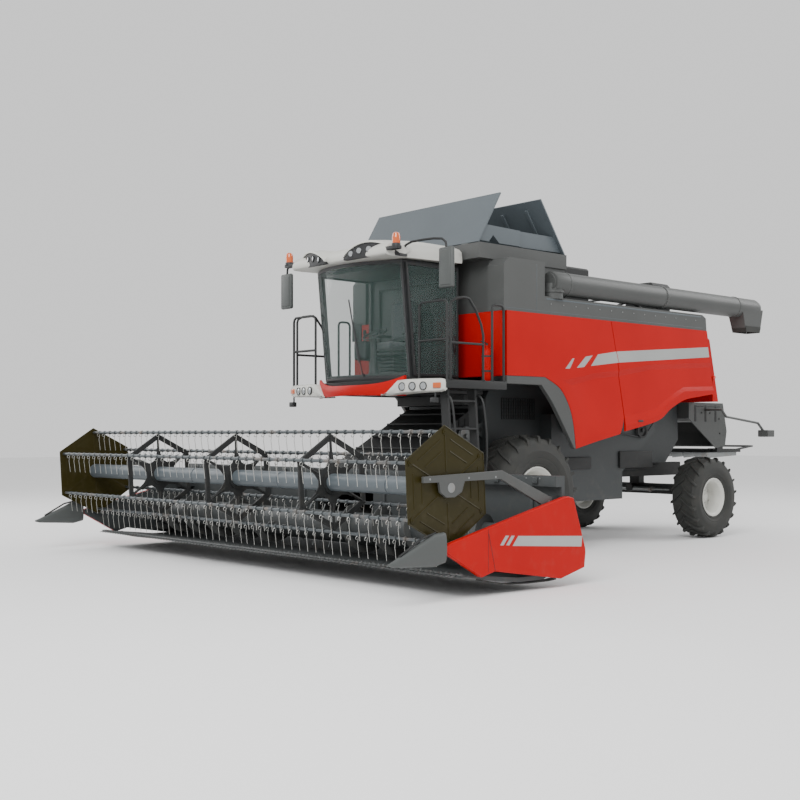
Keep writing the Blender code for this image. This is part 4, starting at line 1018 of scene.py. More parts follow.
@dataclass
class SidePanels:
    """Red lift-up panels with the front arch, seam, swoosh and silver stripes."""

    skin: float = 1.5515
    face: float = 1.5868
    floor: float = 1.565
    tool_face: float = 1.60
    rim: tuple = ((0.44, 2.44), (0.87, 1.66), (2.06, 1.84), (2.66, 1.96), (3.03, 2.20), (3.38, 2.36),
                  (4.60, 2.42), (4.60, 2.87), (2.52, 2.75), (1.76, 2.63), (1.09, 2.56))
    bed: tuple = ((0.66, 2.38), (1.00, 1.90), (2.06, 1.97), (2.62, 2.06), (3.06, 2.29), (3.40, 2.43),
                  (4.60, 2.48), (4.60, 2.80), (2.54, 2.67), (1.78, 2.55), (1.19, 2.49))
    arch: tuple = ((0.07, 2.48), (0.39, 2.33), (0.58, 2.10), (0.68, 1.85), (0.74, 1.48))
    seam: tuple = ((1.892, 1.73), (1.892, 1.93), (1.712, 2.71), (1.542, 3.3497))

    def build(self) -> None:
        """Make both sides."""
        for side, hand in SIDES:
            self._front(side, hand)
            self._rear(side, hand)

    def _plate(self, name: str, side: int, outline: Sequence, low: float, high: float,
               finish: Finish, body: str, replaces: Sequence[str] = (),
               bevel: float = 0.0) -> bpy.types.Object:
        """One flat plate on a panel."""
        piece = Piece(name)
        piece.sheet(flat(side * low, outline), (side * (high - low), 0, 0))
        return piece.done(finish, body, replaces, bevel)

    def _foil(self, name: str, side: int, outline: Sequence, body: str) -> None:
        """One silver stripe on a panel's face."""
        self._plate(name, side, outline, self.face - 0.001, self.face + 0.0014, Finish.SILVER, body)

    def _recess(self, skin: bpy.types.Object, side: int) -> None:
        """Press the long hollow with sloping sides into a panel's skin."""
        tool = Piece("recess_tool")
        grow = (self.tool_face - self.face) / (self.face - self.floor)
        outer = [(a + (a - c) * grow, b + (b - d) * grow) for (a, b), (c, d) in zip(self.rim, self.bed)]
        tool.loft([flat(side * self.tool_face, outer), flat(side * self.floor, self.bed)])
        cutter = linked(tool.name, tool.mesh())
        press = skin.modifiers.new("press", "BOOLEAN")
        press.operation = "DIFFERENCE"
        press.solver = "EXACT"
        press.object = cutter
        settled(skin)
        bpy.data.objects.remove(cutter)
        skin.data.set_sharp_from_angle(angle=math.radians(8))

    def _front(self, side: int, hand: str) -> None:
        """The panel above the front wheel."""
        body = "side_panel_front_" + hand
        run = spline(self.arch)
        bottom = [(1.20, 1.58), (1.76, 1.69), (1.876, 1.93), (1.70, 2.71), (1.532, 3.3495)]
        outline = [(-0.708, 2.477)] + run + bottom + [(-0.708, 3.3495)]
        self._recess(self._plate(body + "_skin", side, outline, self.skin, self.face, Finish.RED, body,
                                 (body,)), side)
        inner = spline([(0.0, 2.365), (0.22, 2.14), (0.42, 1.88), (0.52, 1.74), (0.70, 1.485)])
        fender = [(-0.705, 2.476)] + run + inner[::-1] + [(-0.705, 2.365)]
        self._plate(body + "_fender", side, fender, self.skin - 0.04, self.face - 0.003,
                    Finish.GREY, body, bevel=0.008)
        bars = ([(0.50, 2.61), (0.60, 2.615), (0.70, 2.765), (0.655, 2.76)],
                [(0.75, 2.63), (0.92, 2.65), (1.11, 2.825), (0.95, 2.80)],
                [(1.07, 2.67), (1.716, 2.745), (1.655, 2.905), (1.23, 2.845)])
        for index, bar in enumerate(bars):
            self._foil("%s_stripe_%d" % (body, index), side, bar, body)

    def _rear(self, side: int, hand: str) -> None:
        """The panel behind the seam."""
        body = "side_panel_rear_" + hand
        lower = spline([(1.893, 1.731), (2.70, 1.895), (3.03, 2.08), (3.40, 2.225), (3.80, 2.285),
                        (4.244, 2.342)], 5)
        outline = lower + [(4.022, 3.3495), (1.544, 3.3495), (1.714, 2.71), (1.893, 1.93)]
        self._recess(self._plate(body + "_skin", side, outline, self.skin, self.face, Finish.RED, body,
                                 (body,)), side)
        part = [(1.728, 2.746), (4.085, 2.93), (4.048, 3.09), (1.668, 2.907)]
        self._foil(body + "_stripe", side, part, body)
        latch = Piece(body + "_latch")
        latch.box(at(side * (self.face - 0.002), 2.20, 1.87),
                  at(side * (self.face + 0.003), 2.32, 1.90), 0.001)
        latch.done(Finish.PLASTIC, body)


@dataclass
class Tank:
    """The raised tank lids with ribs, the mouth's seals and the casings' seams."""

    front: tuple = ((-0.915, 4.2803), (-0.48, 5.00))
    rear: tuple = ((0.855, 4.2803), (0.33, 5.02))

    def build(self) -> None:
        """Dress the tank."""
        paint_node("grain_tank", Finish.GREY)
        for side, hand in SIDES:
            paint_node("upper_casing_" + hand, Finish.GREY)
            trim = Piece("casing_trim_" + hand)
            trim.box(at(side * 1.577, 0.10, 3.555), at(side * 1.5815, 3.86, 3.575), 0.002)
            trim.box(at(side * 1.577, -0.74, 3.386), at(side * 1.5815, 3.90, 3.392), 0.001)
            trim.box(at(side * 1.577, -0.10, 3.40), at(side * 1.5815, -0.094, 4.03), 0.001)
            trim.done(Finish.BLUE_GREY)
            screws = Piece("casing_screws_" + hand)
            screws.bolts(flat(side * 1.576, [(0.20 + step * 0.27, 3.50) for step in range(14)]),
                         (side * 0.008, 0, 0), 0.010, 8)
            screws.done(Finish.STEEL)
        self._lid("tank_lid_front", self.front, 1)
        self._lid("tank_lid_rear", self.rear, -1)

    def _lid(self, body: str, line: tuple, inward: int) -> None:
        """Ribs inside a lid and a folded edge along its top."""
        paint_node(body, Finish.BLUE_GREY)
        (y0, z0), (y1, z1) = line
        run = Vector((y1 - y0, z1 - z0))
        along = run.normalized()
        normal = Vector((along.y, -along.x)) * inward
        ribs = Piece(body + "_ribs")
        for x in (-0.95, -0.48, 0.0, 0.48, 0.95):
            a = Vector((y0, z0)) + along * 0.10 + normal * 0.006
            b = Vector((y0, z0)) + along * (run.length - 0.12) + normal * 0.006
            ribs.sheet([at(x - 0.025, *a), at(x + 0.025, *a), at(x + 0.025, *b), at(x - 0.025, *b)],
                       (0, normal.x * 0.022, normal.y * 0.022))
        ribs.done(Finish.BLUE_GREY, body, bevel=0.005)
        hinge = Piece(body + "_hinges")
        hinge.bolts([at(x, y0, z0 + 0.004) for x in (-1.06, -0.56, -0.06, 0.44, 0.94)],
                    (0.12, 0, 0), 0.011, 14)
        hinge.done(Finish.STEEL, body)


@dataclass
class Deck:
    """Engine deck: air intake screen, exhaust, cover seams and hand rail."""

    def build(self) -> None:
        """Dress the deck."""
        paint_node("engine_deck", Finish.FRAME)
        cover = Piece("deck_cover_ribs")
        cover.boxes(9, at(-0.90, 0.95, 4.196), at(0.88, 0.98, 4.209), (0, 0.10, 0), 0.004)
        cover.done(Finish.BLUE_GREY)
        screen = Piece("air_screen")
        screen.boxes(16, at(-1.20, 1.95, 4.016), at(-0.51, 1.97, 4.030), (0, 0.058, 0))
        screen.tube([at(-1.22, 1.93, 4.025), at(-0.49, 1.93, 4.025), at(-0.49, 2.87, 4.025),
                     at(-1.22, 2.87, 4.025)], 0.012, 8, True)
        screen.done(Finish.STEEL)
        pipe = Piece("exhaust_tip")
        top = Vector(at(-1.05, 3.46, 4.50))
        base = Vector(at(-1.05, 3.30, 3.62))
        along = (top - base).normalized()
        pipe.rod(base + along * 0.10, top - along * 0.002, 0.0708, 32)
        pipe.rod(base + along * 0.14, base + along * 0.42, 0.090, 32)
        pipe.rod(base + along * 0.12, base + along * 0.14, 0.080, 32)
        pipe.done(Finish.STEEL)
        hose = Piece("deck_hoses")
        for start, end, rise, radius, sides in (
                ((0.35, 1.95, 3.62), (0.35, 2.7, 3.62), 0.16, 0.03, 14),
                ((0.10, 2.05, 3.62), (0.45, 3.1, 3.62), 0.14, 0.025, 14),
                ((1.12, 2.2, 3.62), (1.12, 3.0, 3.62), 0.12, 0.022, 12)):
            hose.tube(self._arc(start, end, rise), radius, sides)
        hose.done(Finish.PLASTIC)
        box = Piece("service_box")
        box.box(at(0.62, 3.27, 4.115), at(1.03, 3.68, 4.126), 0.005)
        box.box(at(0.60, 3.195, 3.70), at(1.05, 3.203, 4.05), 0.003)
        box.done(Finish.FRAME)
        rail = Piece("deck_rail")
        rail.tube([at(-1.0, 3.95, 3.60), at(-1.0, 3.95, 3.98), at(-0.96, 3.95, 4.02),
                   at(0.36, 3.95, 4.02), at(0.40, 3.95, 3.98), at(0.40, 3.95, 3.60)], 0.016, 12)
        rail.tube([at(-1.0, 3.95, 3.82), at(0.40, 3.95, 3.82)], 0.012, 10)
        rail.done(Finish.FRAME)

    @staticmethod
    def _arc(start: Point, end: Point, rise: float) -> list[Point]:
        """A hose's arch between two places on the deck."""
        path = []
        for step in range(13):
            t = step / 12
            x, y, z = (a + (b - a) * t for a, b in zip(start, end))
            path.append(at(x, y, z + rise * math.sin(math.pi * t)))
        return path


@dataclass
class Unloader:
    """The folded unloading auger: elbow cap, flanges, spout and its rubber lip."""

    x: float = 1.49
    z: float = 3.81
    radius: float = 0.166

    def build(self) -> None:
        """Make the tube and its fittings."""
        tube = Piece("auger_tube")
        axis = (0, 1, 0)
        base = at(self.x, 0.0, self.z)
        r = self.radius
        profile = [(0.0, 0.252), (0.06, 0.252), (0.10, 0.262), (r - 0.01, 0.275), (r, 0.30),
                   (r, 0.56), (r + 0.007, 0.565), (r + 0.007, 0.60), (r, 0.605), (r, 2.855),
                   (r + 0.0115, 2.86), (r + 0.0115, 2.898), (r, 2.903), (r, 4.90),
                   (r + 0.008, 4.905), (r + 0.008, 4.93), (r, 4.935), (r, 5.50), (r - 0.02, 5.57),
                   (r - 0.06, 5.61), (0.0, 5.619)]
        tube.turned(profile, base, axis, 48)
        tube.done(Finish.GREY, "unloader", ("unloading_auger",), smooth=30)
        elbow = Piece("auger_elbow")
        elbow.rod(at(self.x - 0.01, 0.35, 3.58), at(self.x - 0.01, 0.35, 3.80), 0.150, 40)
        elbow.rod(at(self.x, 0.35, 3.67), at(self.x, 0.35, 3.70), 0.158, 40)
        elbow.done(Finish.GREY, "unloader", bevel=0.003)
        cap = Piece("auger_cap")
        cap.rod(at(self.x, 0.235, self.z), at(self.x, 0.256, self.z), 0.135, 40)
        cap.bolts([at(self.x + a, 0.228, self.z + b) for a, b in circle(8, 0.11)],
                  (0, 0.012, 0), 0.010)
        cap.done(Finish.GREY, "unloader")
        self._spout()
        cradle = Piece("auger_bolts")
        cradle.bolts([at(self.x + a, 2.85, self.z + b) for a, b in circle(16, r + 0.0005)],
                     (0, 0.058, 0), 0.009)
        cradle.done(Finish.STEEL, "unloader")

    def _spout(self) -> None:
        """The hood at the tube's end, narrowing downward, with a rubber lip."""
        hood = Piece("auger_spout")
        hood.loft([[at(self.x - half, ya, z), at(self.x + half, ya, z), at(self.x + half, yb, z),
                    at(self.x - half, yb, z)]
                   for half, ya, yb, z in ((0.148, 4.985, 5.625, 3.79), (0.132, 5.10, 5.57, 3.47),
                                           (0.124, 5.11, 5.56, 3.47), (0.138, 5.0, 5.615, 3.77))])
        hood.done(Finish.GREY, "unloader", bevel=0.006)
        lip = Piece("spout_lip")
        for sx in (-1, 1):
            lip.sheet([at(self.x + sx * out, y, z) for out, y, z in (
                (0.134, 5.10, 3.50), (0.134, 5.57, 3.50), (0.126, 5.545, 3.403), (0.126, 5.13, 3.403))],
                      (sx * 0.006, 0, 0))
        for y, lean in ((5.094, 0.03), (5.570, -0.022)):
            lip.sheet([at(self.x + out, y + low, z) for out, low, z in (
                (-0.134, 0, 3.50), (0.134, 0, 3.50), (0.126, lean, 3.403), (-0.126, lean, 3.403))],
                      (0, 0.006, 0))
        lip.done(Finish.RUBBER, "unloader")


@dataclass
class Rear:
    """Straw hood, rear hood, chopper, tailboard and rear lamps."""

    def build(self) -> None:
        """Dress the back of the machine."""
        paint_node("straw_hood", Finish.GREY)
        paint_node("rear_hood", Finish.RED)
        paint_node("tailboard", Finish.FRAME)
        paint_node("chopper_rotor", Finish.STEEL)
        trim = Piece("hood_trim")
        for side in (1, -1):
            trim.tube(flat(side * 1.001, [(4.60, 2.16), (5.30, 2.16)]), 0.009, 8)
            trim.boxes(3, at(side * 0.995, 4.55, 1.90), at(side * 1.006, 4.60, 2.18), (0, 0.30, 0), 0.004)
            trim.bolts(flat(side * 0.99, [(4.75, 2.05), (5.0, 2.05), (5.28, 1.95), (5.3, 1.7)]),
                       (side * 0.020, 0, 0), 0.014, 8)
        trim.done(Finish.FRAME)
        vent = Piece("hood_vent")
        vent.boxes(7, at(-0.55, 4.394, 2.45), at(0.55, 4.412, 2.485), (0, -0.02125, 0.085), 0.004)
        vent.done(Finish.PLASTIC)
        lamps = Piece("rear_lamps")
        for side in (1, -1):
            lamps.box(at(side * 1.27, 6.305, 1.655), at(side * 1.43, 6.319, 1.745), 0.004)
            lamps.rod(at(side * 1.462, 4.40, 2.62), at(side * 1.488, 4.40, 2.62), 0.035, 20, 0.026)
        lamps.done(Finish.RED_LENS)
        vanes = Piece("spreader_vanes")
        for step in range(7):
            x = -0.72 + step * 0.24
            vanes.sheet([at(x, 5.28, 1.375), at(x + x * 0.12, 6.12, 1.375),
                         at(x + x * 0.12, 6.12, 1.31), at(x, 5.35, 1.27)], (0.008, 0, 0))
        vanes.done(Finish.STEEL)


@dataclass
class Chassis:
    """Frame, axles, belts, pipes and the housing's flanks."""

    def build(self) -> None:
        """Dress the running gear."""
        for node in ("chassis_frame", "front_axle", "rear_axle", "rear_knuckle_left",
                     "rear_knuckle_right"):
            paint_node(node, Finish.FRAME)
        paint_node("separator_housing", Finish.TABLE)
        paint_node("front_wall", Finish.RED)
        paint_node("engine_block", Finish.STEEL)
        self._drives()
        self._axle_details()
        self._housing_details()

    def _drives(self) -> None:
        """Belt drives on the left flank and flat covers on both."""
        wheels = (((1.20, 1.86), 0.16), ((2.10, 1.95), 0.22), ((3.00, 1.75), 0.13),
                  ((3.62, 2.36), 0.16))
        sheaves = Piece("belt_sheaves")
        x = 1.045
        for (y, z), r in wheels:
            sheaves.turned([(0.0, 0.05), (0.03, 0.05), (0.036, 0.022), (r - 0.05, 0.014),
                            (r - 0.03, 0.036), (r, 0.036), (r - 0.018, 0.018), (r, -0.002),
                            (r - 0.03, -0.002), (0.0, -0.002)], at(x, y, z), (1, 0, 0), 40)
            sheaves.rod(at(0.80, y, z), at(x, y, z), 0.032, 16)
        sheaves.done(Finish.FRAME)
        belts = Piece("belts")
        for ((ya, za), ra), ((yb, zb), rb) in zip(wheels, wheels[1:]):
            run = Vector((yb - ya, zb - za)).normalized()
            side = Vector((-run.y, run.x))
            for sign in (1, -1):
                a = Vector((ya, za)) + side * (ra - 0.012) * sign
                b = Vector((yb, zb)) + side * (rb - 0.012) * sign
                belts.tube(flat(x + 0.018, (a, b)), 0.011, 6)
        belts.done(Finish.PLASTIC)
        covers = Piece("flank_covers")
        for y0, y1, z0, z1 in ((0.95, 1.75, 1.16, 1.34), (2.45, 3.30, 1.16, 1.42)):
            covers.box(at(1.018, y0, z0), at(1.055, y1, z1), 0.012)
            covers.box(at(-1.055, y0, z0), at(-1.018, y1, z1), 0.012)
        covers.done(Finish.FRAME)

    def _axle_details(self) -> None:
        """Steering ram, brake pipes and the wheels' gearboxes."""
        ram = Piece("steering_ram")
        y, z, half = 4.12, 0.765, 0.42
        ram.rod(at(-half, y, z), at(half, y, z), 0.036, 24)
        ram.bolts([at(half, y, z), at(-0.80, y, z)], (0.38, 0, 0), 0.018, 16)
        for x in (-half, half):
            ram.rod(at(x - 0.02, y, z), at(x + 0.02, y, z), 0.044, 24)
            ram.box(at(x - 0.03, y, z - 0.03), at(x + 0.03, y + 0.09, z + 0.03), 0.006)
        ram.done(Finish.STEEL)
        pipes = Piece("brake_pipes")
        for side in (1, -1):
            pipes.tube(across(side, [(0.62, -0.40, 1.24), (0.70, 0.6, 1.26), (0.71, 2.6, 1.20),
                                     (0.71, 3.9, 1.20)]), 0.010, 8)
            pipes.tube(across(side, [(0.69, 0.2, 1.12), (0.695, 2.2, 1.10), (0.695, 3.6, 1.12)]),
                       0.008, 8)
        pipes.done(Finish.PLASTIC)
        gear = Piece("final_drives")
        for side in (1, -1):
            gear.rod(at(side * 0.80, 0.0, 0.84), at(side * 0.92, 0.0, 0.84), 0.24, 40)
            gear.bolts(flat(side * 0.915, [(a, 0.84 + b) for a, b in circle(10, 0.205)]),
                       (side * 0.015, 0, 0), 0.014)
        gear.done(Finish.FRAME, bevel=0.006)

    def _housing_details(self) -> None:
        """Pressed ribs on the flanks and grilles in the wheel arches."""
        ribs = Piece("shoe_ribs")
        for side in (1, -1):
            for count, y, gap, low, high in ((6, 1.26, 0.24, 0.74, 1.20), (5, 2.70, 0.33, 2.15, 2.68)):
                ribs.boxes(count, at(side * 0.795, y, low), at(side * 0.815, y + 0.05, high),
                           (0, gap, 0), 0.006)
        ribs.done(Finish.TABLE)
        grille = Piece("arch_grilles")
        for side in (1, -1):
            low, high = sorted((side * 0.802, side * 0.812))
            grille.boxes(15, at(low, 0.02, 1.90), at(high, 0.028, 2.20), (0, 0.05, 0))
            grille.boxes(7, at(low, 0.02, 1.90), at(high, 0.73, 1.908), (0, 0, 0.05))
        grille.done(Finish.FRAME)


# ---------------------------------------------------------------- lamps and pads
def lamp(bezel: Piece, lens: Piece, place: Point, facing: Sequence[float], radius: float) -> None:
    """A round lamp: a rim in one piece and a domed lens in another.

    Args:
        bezel: the piece that takes the rim.
        lens: the piece that takes the glass.
        place: the middle of the lamp's back.
        facing: the way that it shines.
        radius: the rim's outer radius.
    """
    r = radius
    rim = [(r * 0.84, 0.0), (r, 0.0), (r, r * 0.30), (r * 0.96, r * 0.38), (r * 0.88, r * 0.36),
           (r * 0.84, r * 0.26)]
    bezel.turned(rim, place, facing, 28)
    dome = [(0.0, r * 0.36), (r * 0.3, r * 0.35), (r * 0.6, r * 0.31), (r * 0.86, r * 0.22),
            (r * 0.86, r * 0.05), (0.0, r * 0.05)]
    lens.turned(dome, place, facing, 28)


def puffed(item: bpy.types.Object, cap: float, pressure: float = 4.0, voxel: float = 0.006) -> None:
    """Swell a pad like stuffed cloth.

    Args:
        item: the pad, a closed mesh.
        cap: the furthest that a point may move.
        pressure: how hard the filling pushes.
        voxel: the remeshed edge length.
    """
    remesh = item.modifiers.new("even", "REMESH")
    remesh.mode = "VOXEL"
    remesh.voxel_size = voxel
    settled(item)
    start = [v.co.copy() for v in item.data.vertices]
    cloth = item.modifiers.new("stuffing", "CLOTH")
    cloth.settings.use_pressure = True
    cloth.settings.uniform_pressure_force = pressure
    cloth.settings.effector_weights.gravity = 0.0
    scene = bpy.context.scene
    for step in range(1, 21):
        scene.frame_set(step)
    settled(item)
    scene.frame_set(1)
    for vertex, place in zip(item.data.vertices, start):
        move = vertex.co - place
        if move.length > cap:
            vertex.co = place + move.normalized() * cap


# ---------------------------------------------------------------- cab
@dataclass
class Cab:
    """Glass, door, seat, controls and the trim of the driver's cab."""

    pane: tuple = ((-1.79, 2.46), (-1.94, 3.95), (-0.97, 3.95), (-0.97, 2.46))

    def build(self) -> None:
        """Dress the cab."""
        paint_node("cab_shell", Finish.PLASTIC)
        self._windscreen()
        self._side_glass("cab_door", "cab_door", 1, 0.9008, 0.9346)
        self._side_glass("right_window", "chassis", -1, 0.9008, 0.9118)
        self._door_fittings()
        self._rear_window()
        self._seat()
        self._controls()

    def _screen_point(self, u: float, t: float, lift: float) -> Point:
        """A place on the windscreen, u across and t up, moved forward by lift."""
        return at(u * 0.897, -1.8272 - 0.15 * t - 0.30 * (1 - u * u) - lift, 2.432 + 1.546 * t)

    def _band(self, piece: Piece, span_u: tuple, span_t: tuple, lifts: tuple, cells: tuple) -> None:
        """A curved slab that follows the windscreen."""
        across_it, up_it = ([low + (high - low) * step / count for step in range(count + 1)]
                            for (low, high), count in zip((span_u, span_t), cells))
        piece.slab(*([[self._screen_point(u, t, lift) for u in across_it] for t in up_it]
                     for lift in lifts))

    def _windscreen(self) -> None:
        """The bowed glass, its dark border and the wiper."""
        glass = Piece("windscreen_glass")
        self._band(glass, (-1, 1), (0, 1), (0.004, -0.004), (48, 10))
        glass.done(Finish.GLASS, replaces=("windscreen",))
        border = Piece("windscreen_border")
        for span_u, span_t, cells in (((-1, 1), (0, 0.02), (48, 1)), ((-1, 1), (0.97, 1), (48, 1)),
                                      ((-1, -0.975), (0.02, 0.97), (3, 8)),
                                      ((0.975, 1), (0.02, 0.97), (3, 8))):
            self._band(border, span_u, span_t, (0.0058, -0.0056), cells)
        border.done(Finish.PLASTIC)
        wiper = Piece("wiper")
        wiper.rod(self._screen_point(0.30, 0.03, -0.002), self._screen_point(0.30, 0.03, 0.02), 0.022, 16)
        wiper.tube([self._screen_point(0.30 - 0.10 * k / 6, 0.03 + 0.40 * k / 6, 0.022)
                    for k in range(7)], 0.007, 8)
        wiper.tube([self._screen_point(0.24 - 0.115 * k / 8, 0.14 + 0.55 * k / 8, 0.014)
                    for k in range(9)], 0.009, 6)
        wiper.done(Finish.PLASTIC)

    def _inset(self, gap: float) -> list[tuple[float, float]]:
        """The side pane's outline drawn in by a gap."""
        (a, b), (c, d), (e, f), (g, h) = self.pane
        return [(a + gap * 1.1, b + gap), (c + gap * 1.1, d - gap), (e - gap, f - gap),
                (g - gap, h + gap)]

    def _side_glass(self, node: str, body: str, side: int, low: float, high: float) -> None:
        """A framed side pane."""
        border = Piece(node + "_frame")
        border.ring(flat(side * low, self._inset(0.001)), flat(side * low, self._inset(0.030)),
                    (side * (high - low), 0, 0))
        border.done(Finish.PLASTIC, body, (node,), bevel=0.003)
        glass = Piece(node + "_glass")
        glass.sheet(flat(side * ((low + high) / 2 - 0.003), self._inset(0.025)), (side * 0.006, 0, 0))
        glass.done(Finish.GLASS, body)

    def _door_fittings(self) -> None:
        """The door's handle and hinges."""
        parts = Piece("door_handle")
        parts.box(at(0.9330, -1.09, 2.80), at(0.9400, -1.03, 3.02), 0.003)
        parts.tube([at(0.936, -1.075, 2.83), at(0.962, -1.075, 2.85), at(0.962, -1.075, 2.97),
                    at(0.936, -1.075, 2.99)], 0.008, 10)
        for z in (2.66, 3.72):
            y = -1.80 - (z - 2.46) * 0.10
            parts.rod(at(0.937, y + 0.02, z - 0.05), at(0.937, y + 0.02, z + 0.05), 0.012, 14)
        parts.done(Finish.PLASTIC, "cab_door")

    def _rear_window(self) -> None:
        """The glass in the rear wall with its seal; the pane is a near-opaque dark sheet of painted
        shade.
        """
        glass = Piece("rear_window_glass")
        glass.box(at(-0.705, -0.966, 2.895), at(0.705, -0.960, 3.805))
        glass.done(Finish.SHADED_REAR_GLASS)
        seal = Piece("rear_window_seal")
        seal.tube([at(-0.69, -0.978, 2.91), at(0.69, -0.978, 2.91), at(0.69, -0.978, 3.79),
                   at(-0.69, -0.978, 3.79)], 0.012, 8, True)
        seal.done(Finish.RUBBER)

    def _seat(self) -> None:
        """The sprung seat with stuffed cushions and arm rests."""
        base = Piece("seat_pedestal")
        base.box(at(-0.17, -1.49, 2.472), at(0.17, -1.11, 2.52), 0.01)
        for step in range(5):
            z = 2.52 + step * 0.05
            half = 0.155 - 0.004 * step
            base.box(at(-half, -1.46, z), at(half, -1.14, z + 0.045), 0.018)
        base.box(at(-0.20, -1.52, 2.78), at(0.20, -1.10, 2.835), 0.015)
        base.box(at(-0.21, -1.09, 2.80), at(0.21, -1.062, 3.50), 0.012)
        for side in (1, -1):
            arm, post = side * 0.29, side * 0.265
            base.box(at(arm - 0.03, -1.42, 3.06), at(arm + 0.03, -1.12, 3.10), 0.014)
            base.box(at(post - 0.008, -1.14, 2.82), at(post + 0.008, -1.09, 3.08), 0.004)
        base.done(Finish.PLASTIC)
        cushion = self._pad("seat_cushion", (-0.235, -1.595, 2.862), (0.235, -1.115, 2.958), 0.038)
        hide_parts("driver_seat")
        self._pad("seat_back", (-0.225, -1.192, 3.00), (0.225, -1.098, 3.58), 0.040)
        piping = Piece("seat_piping")
        for z in (3.16, 3.36):
            piping.tube([at(-0.21, -1.197, z), at(0.21, -1.197, z)], 0.003, 8)
        for x in (-0.13, 0.13):
            piping.tube([at(x, -1.57, 2.972), at(x, -1.16, 2.972)], 0.003, 8)
        piping.done(Finish.CLOTH)

    def _pad(self, name: str, low: Point, high: Point, round_off: float) -> bpy.types.Object:
        """One stuffed pad between two corners."""
        piece = Piece(name)
        piece.box(at(*low), at(*high), round_off)
        item = piece.done(Finish.CLOTH)
        puffed(item, 0.010)
        fine = item.modifiers.new("fine", "SUBSURF")
        fine.levels = fine.render_levels = 1
        settled(item)
        item.data.shade_smooth()
        return item

    def _controls(self) -> None:
        """Steering wheel, console with lever, and the display."""
        wheel = Piece("steering_wheel")
        centre = Vector(at(0.0, -1.68, 3.07))
        tilt = Matrix.Rotation(math.radians(28), 4, "X")
        wheel.tube([centre + tilt @ Vector((a, b, 0)) for a, b in circle(48, 0.17)], 0.0135, 12, True)
        for a, b in circle(3, 0.165, 0.75):
            wheel.tube([centre - Vector((0, 0, 0.012)), centre + tilt @ Vector((a, b, 0))], 0.010, 8)
        wheel.rod(centre - tilt @ Vector((0, 0, 0.03)), centre + tilt @ Vector((0, 0, 0.012)), 0.045, 28)
        wheel.done(Finish.PLASTIC, replaces=("steering_column",))
        column = Piece("steering_post")
        column.turned([(0.0, 0.0), (0.10, 0.0), (0.095, 0.03), (0.065, 0.07), (0.048, 0.20),
                       (0.042, 0.50), (0.036, 0.56), (0.0, 0.575)], at(0, -1.70, 2.472), (0, 0, 1), 28)
        column.done(Finish.PLASTIC)
        console = Piece("side_console")
        console.box(at(-0.59, -1.58, 2.74), at(-0.33, -1.08, 3.01), 0.04)
        console.box(at(-0.40, -1.38, 2.752), at(-0.15, -1.22, 2.822), 0.01)
        console.tube([at(-0.44, -1.48, 3.00), at(-0.44, -1.50, 3.08), at(-0.44, -1.49, 3.13)], 0.012, 10)
        console.rod(at(-0.44, -1.49, 3.11), at(-0.44, -1.487, 3.17), 0.028, 20, 0.020)
        console.bolts([at(-0.52, -1.40 + step * 0.05, 3.008) for step in range(6)], (0, 0, 0.010),
                      0.011, 12)
        console.tube([at(-0.46, -1.53, 3.0), at(-0.46, -1.60, 3.06)], 0.014, 10)
        console.box(at(-0.555, -1.632, 3.00), at(-0.365, -1.598, 3.235), 0.012)
        console.done(Finish.PLASTIC)
        screen = Piece("display_screen")
        screen.box(at(-0.54, -1.5985, 3.02), at(-0.38, -1.5955, 3.215))
        screen.done(Finish.GLASS)


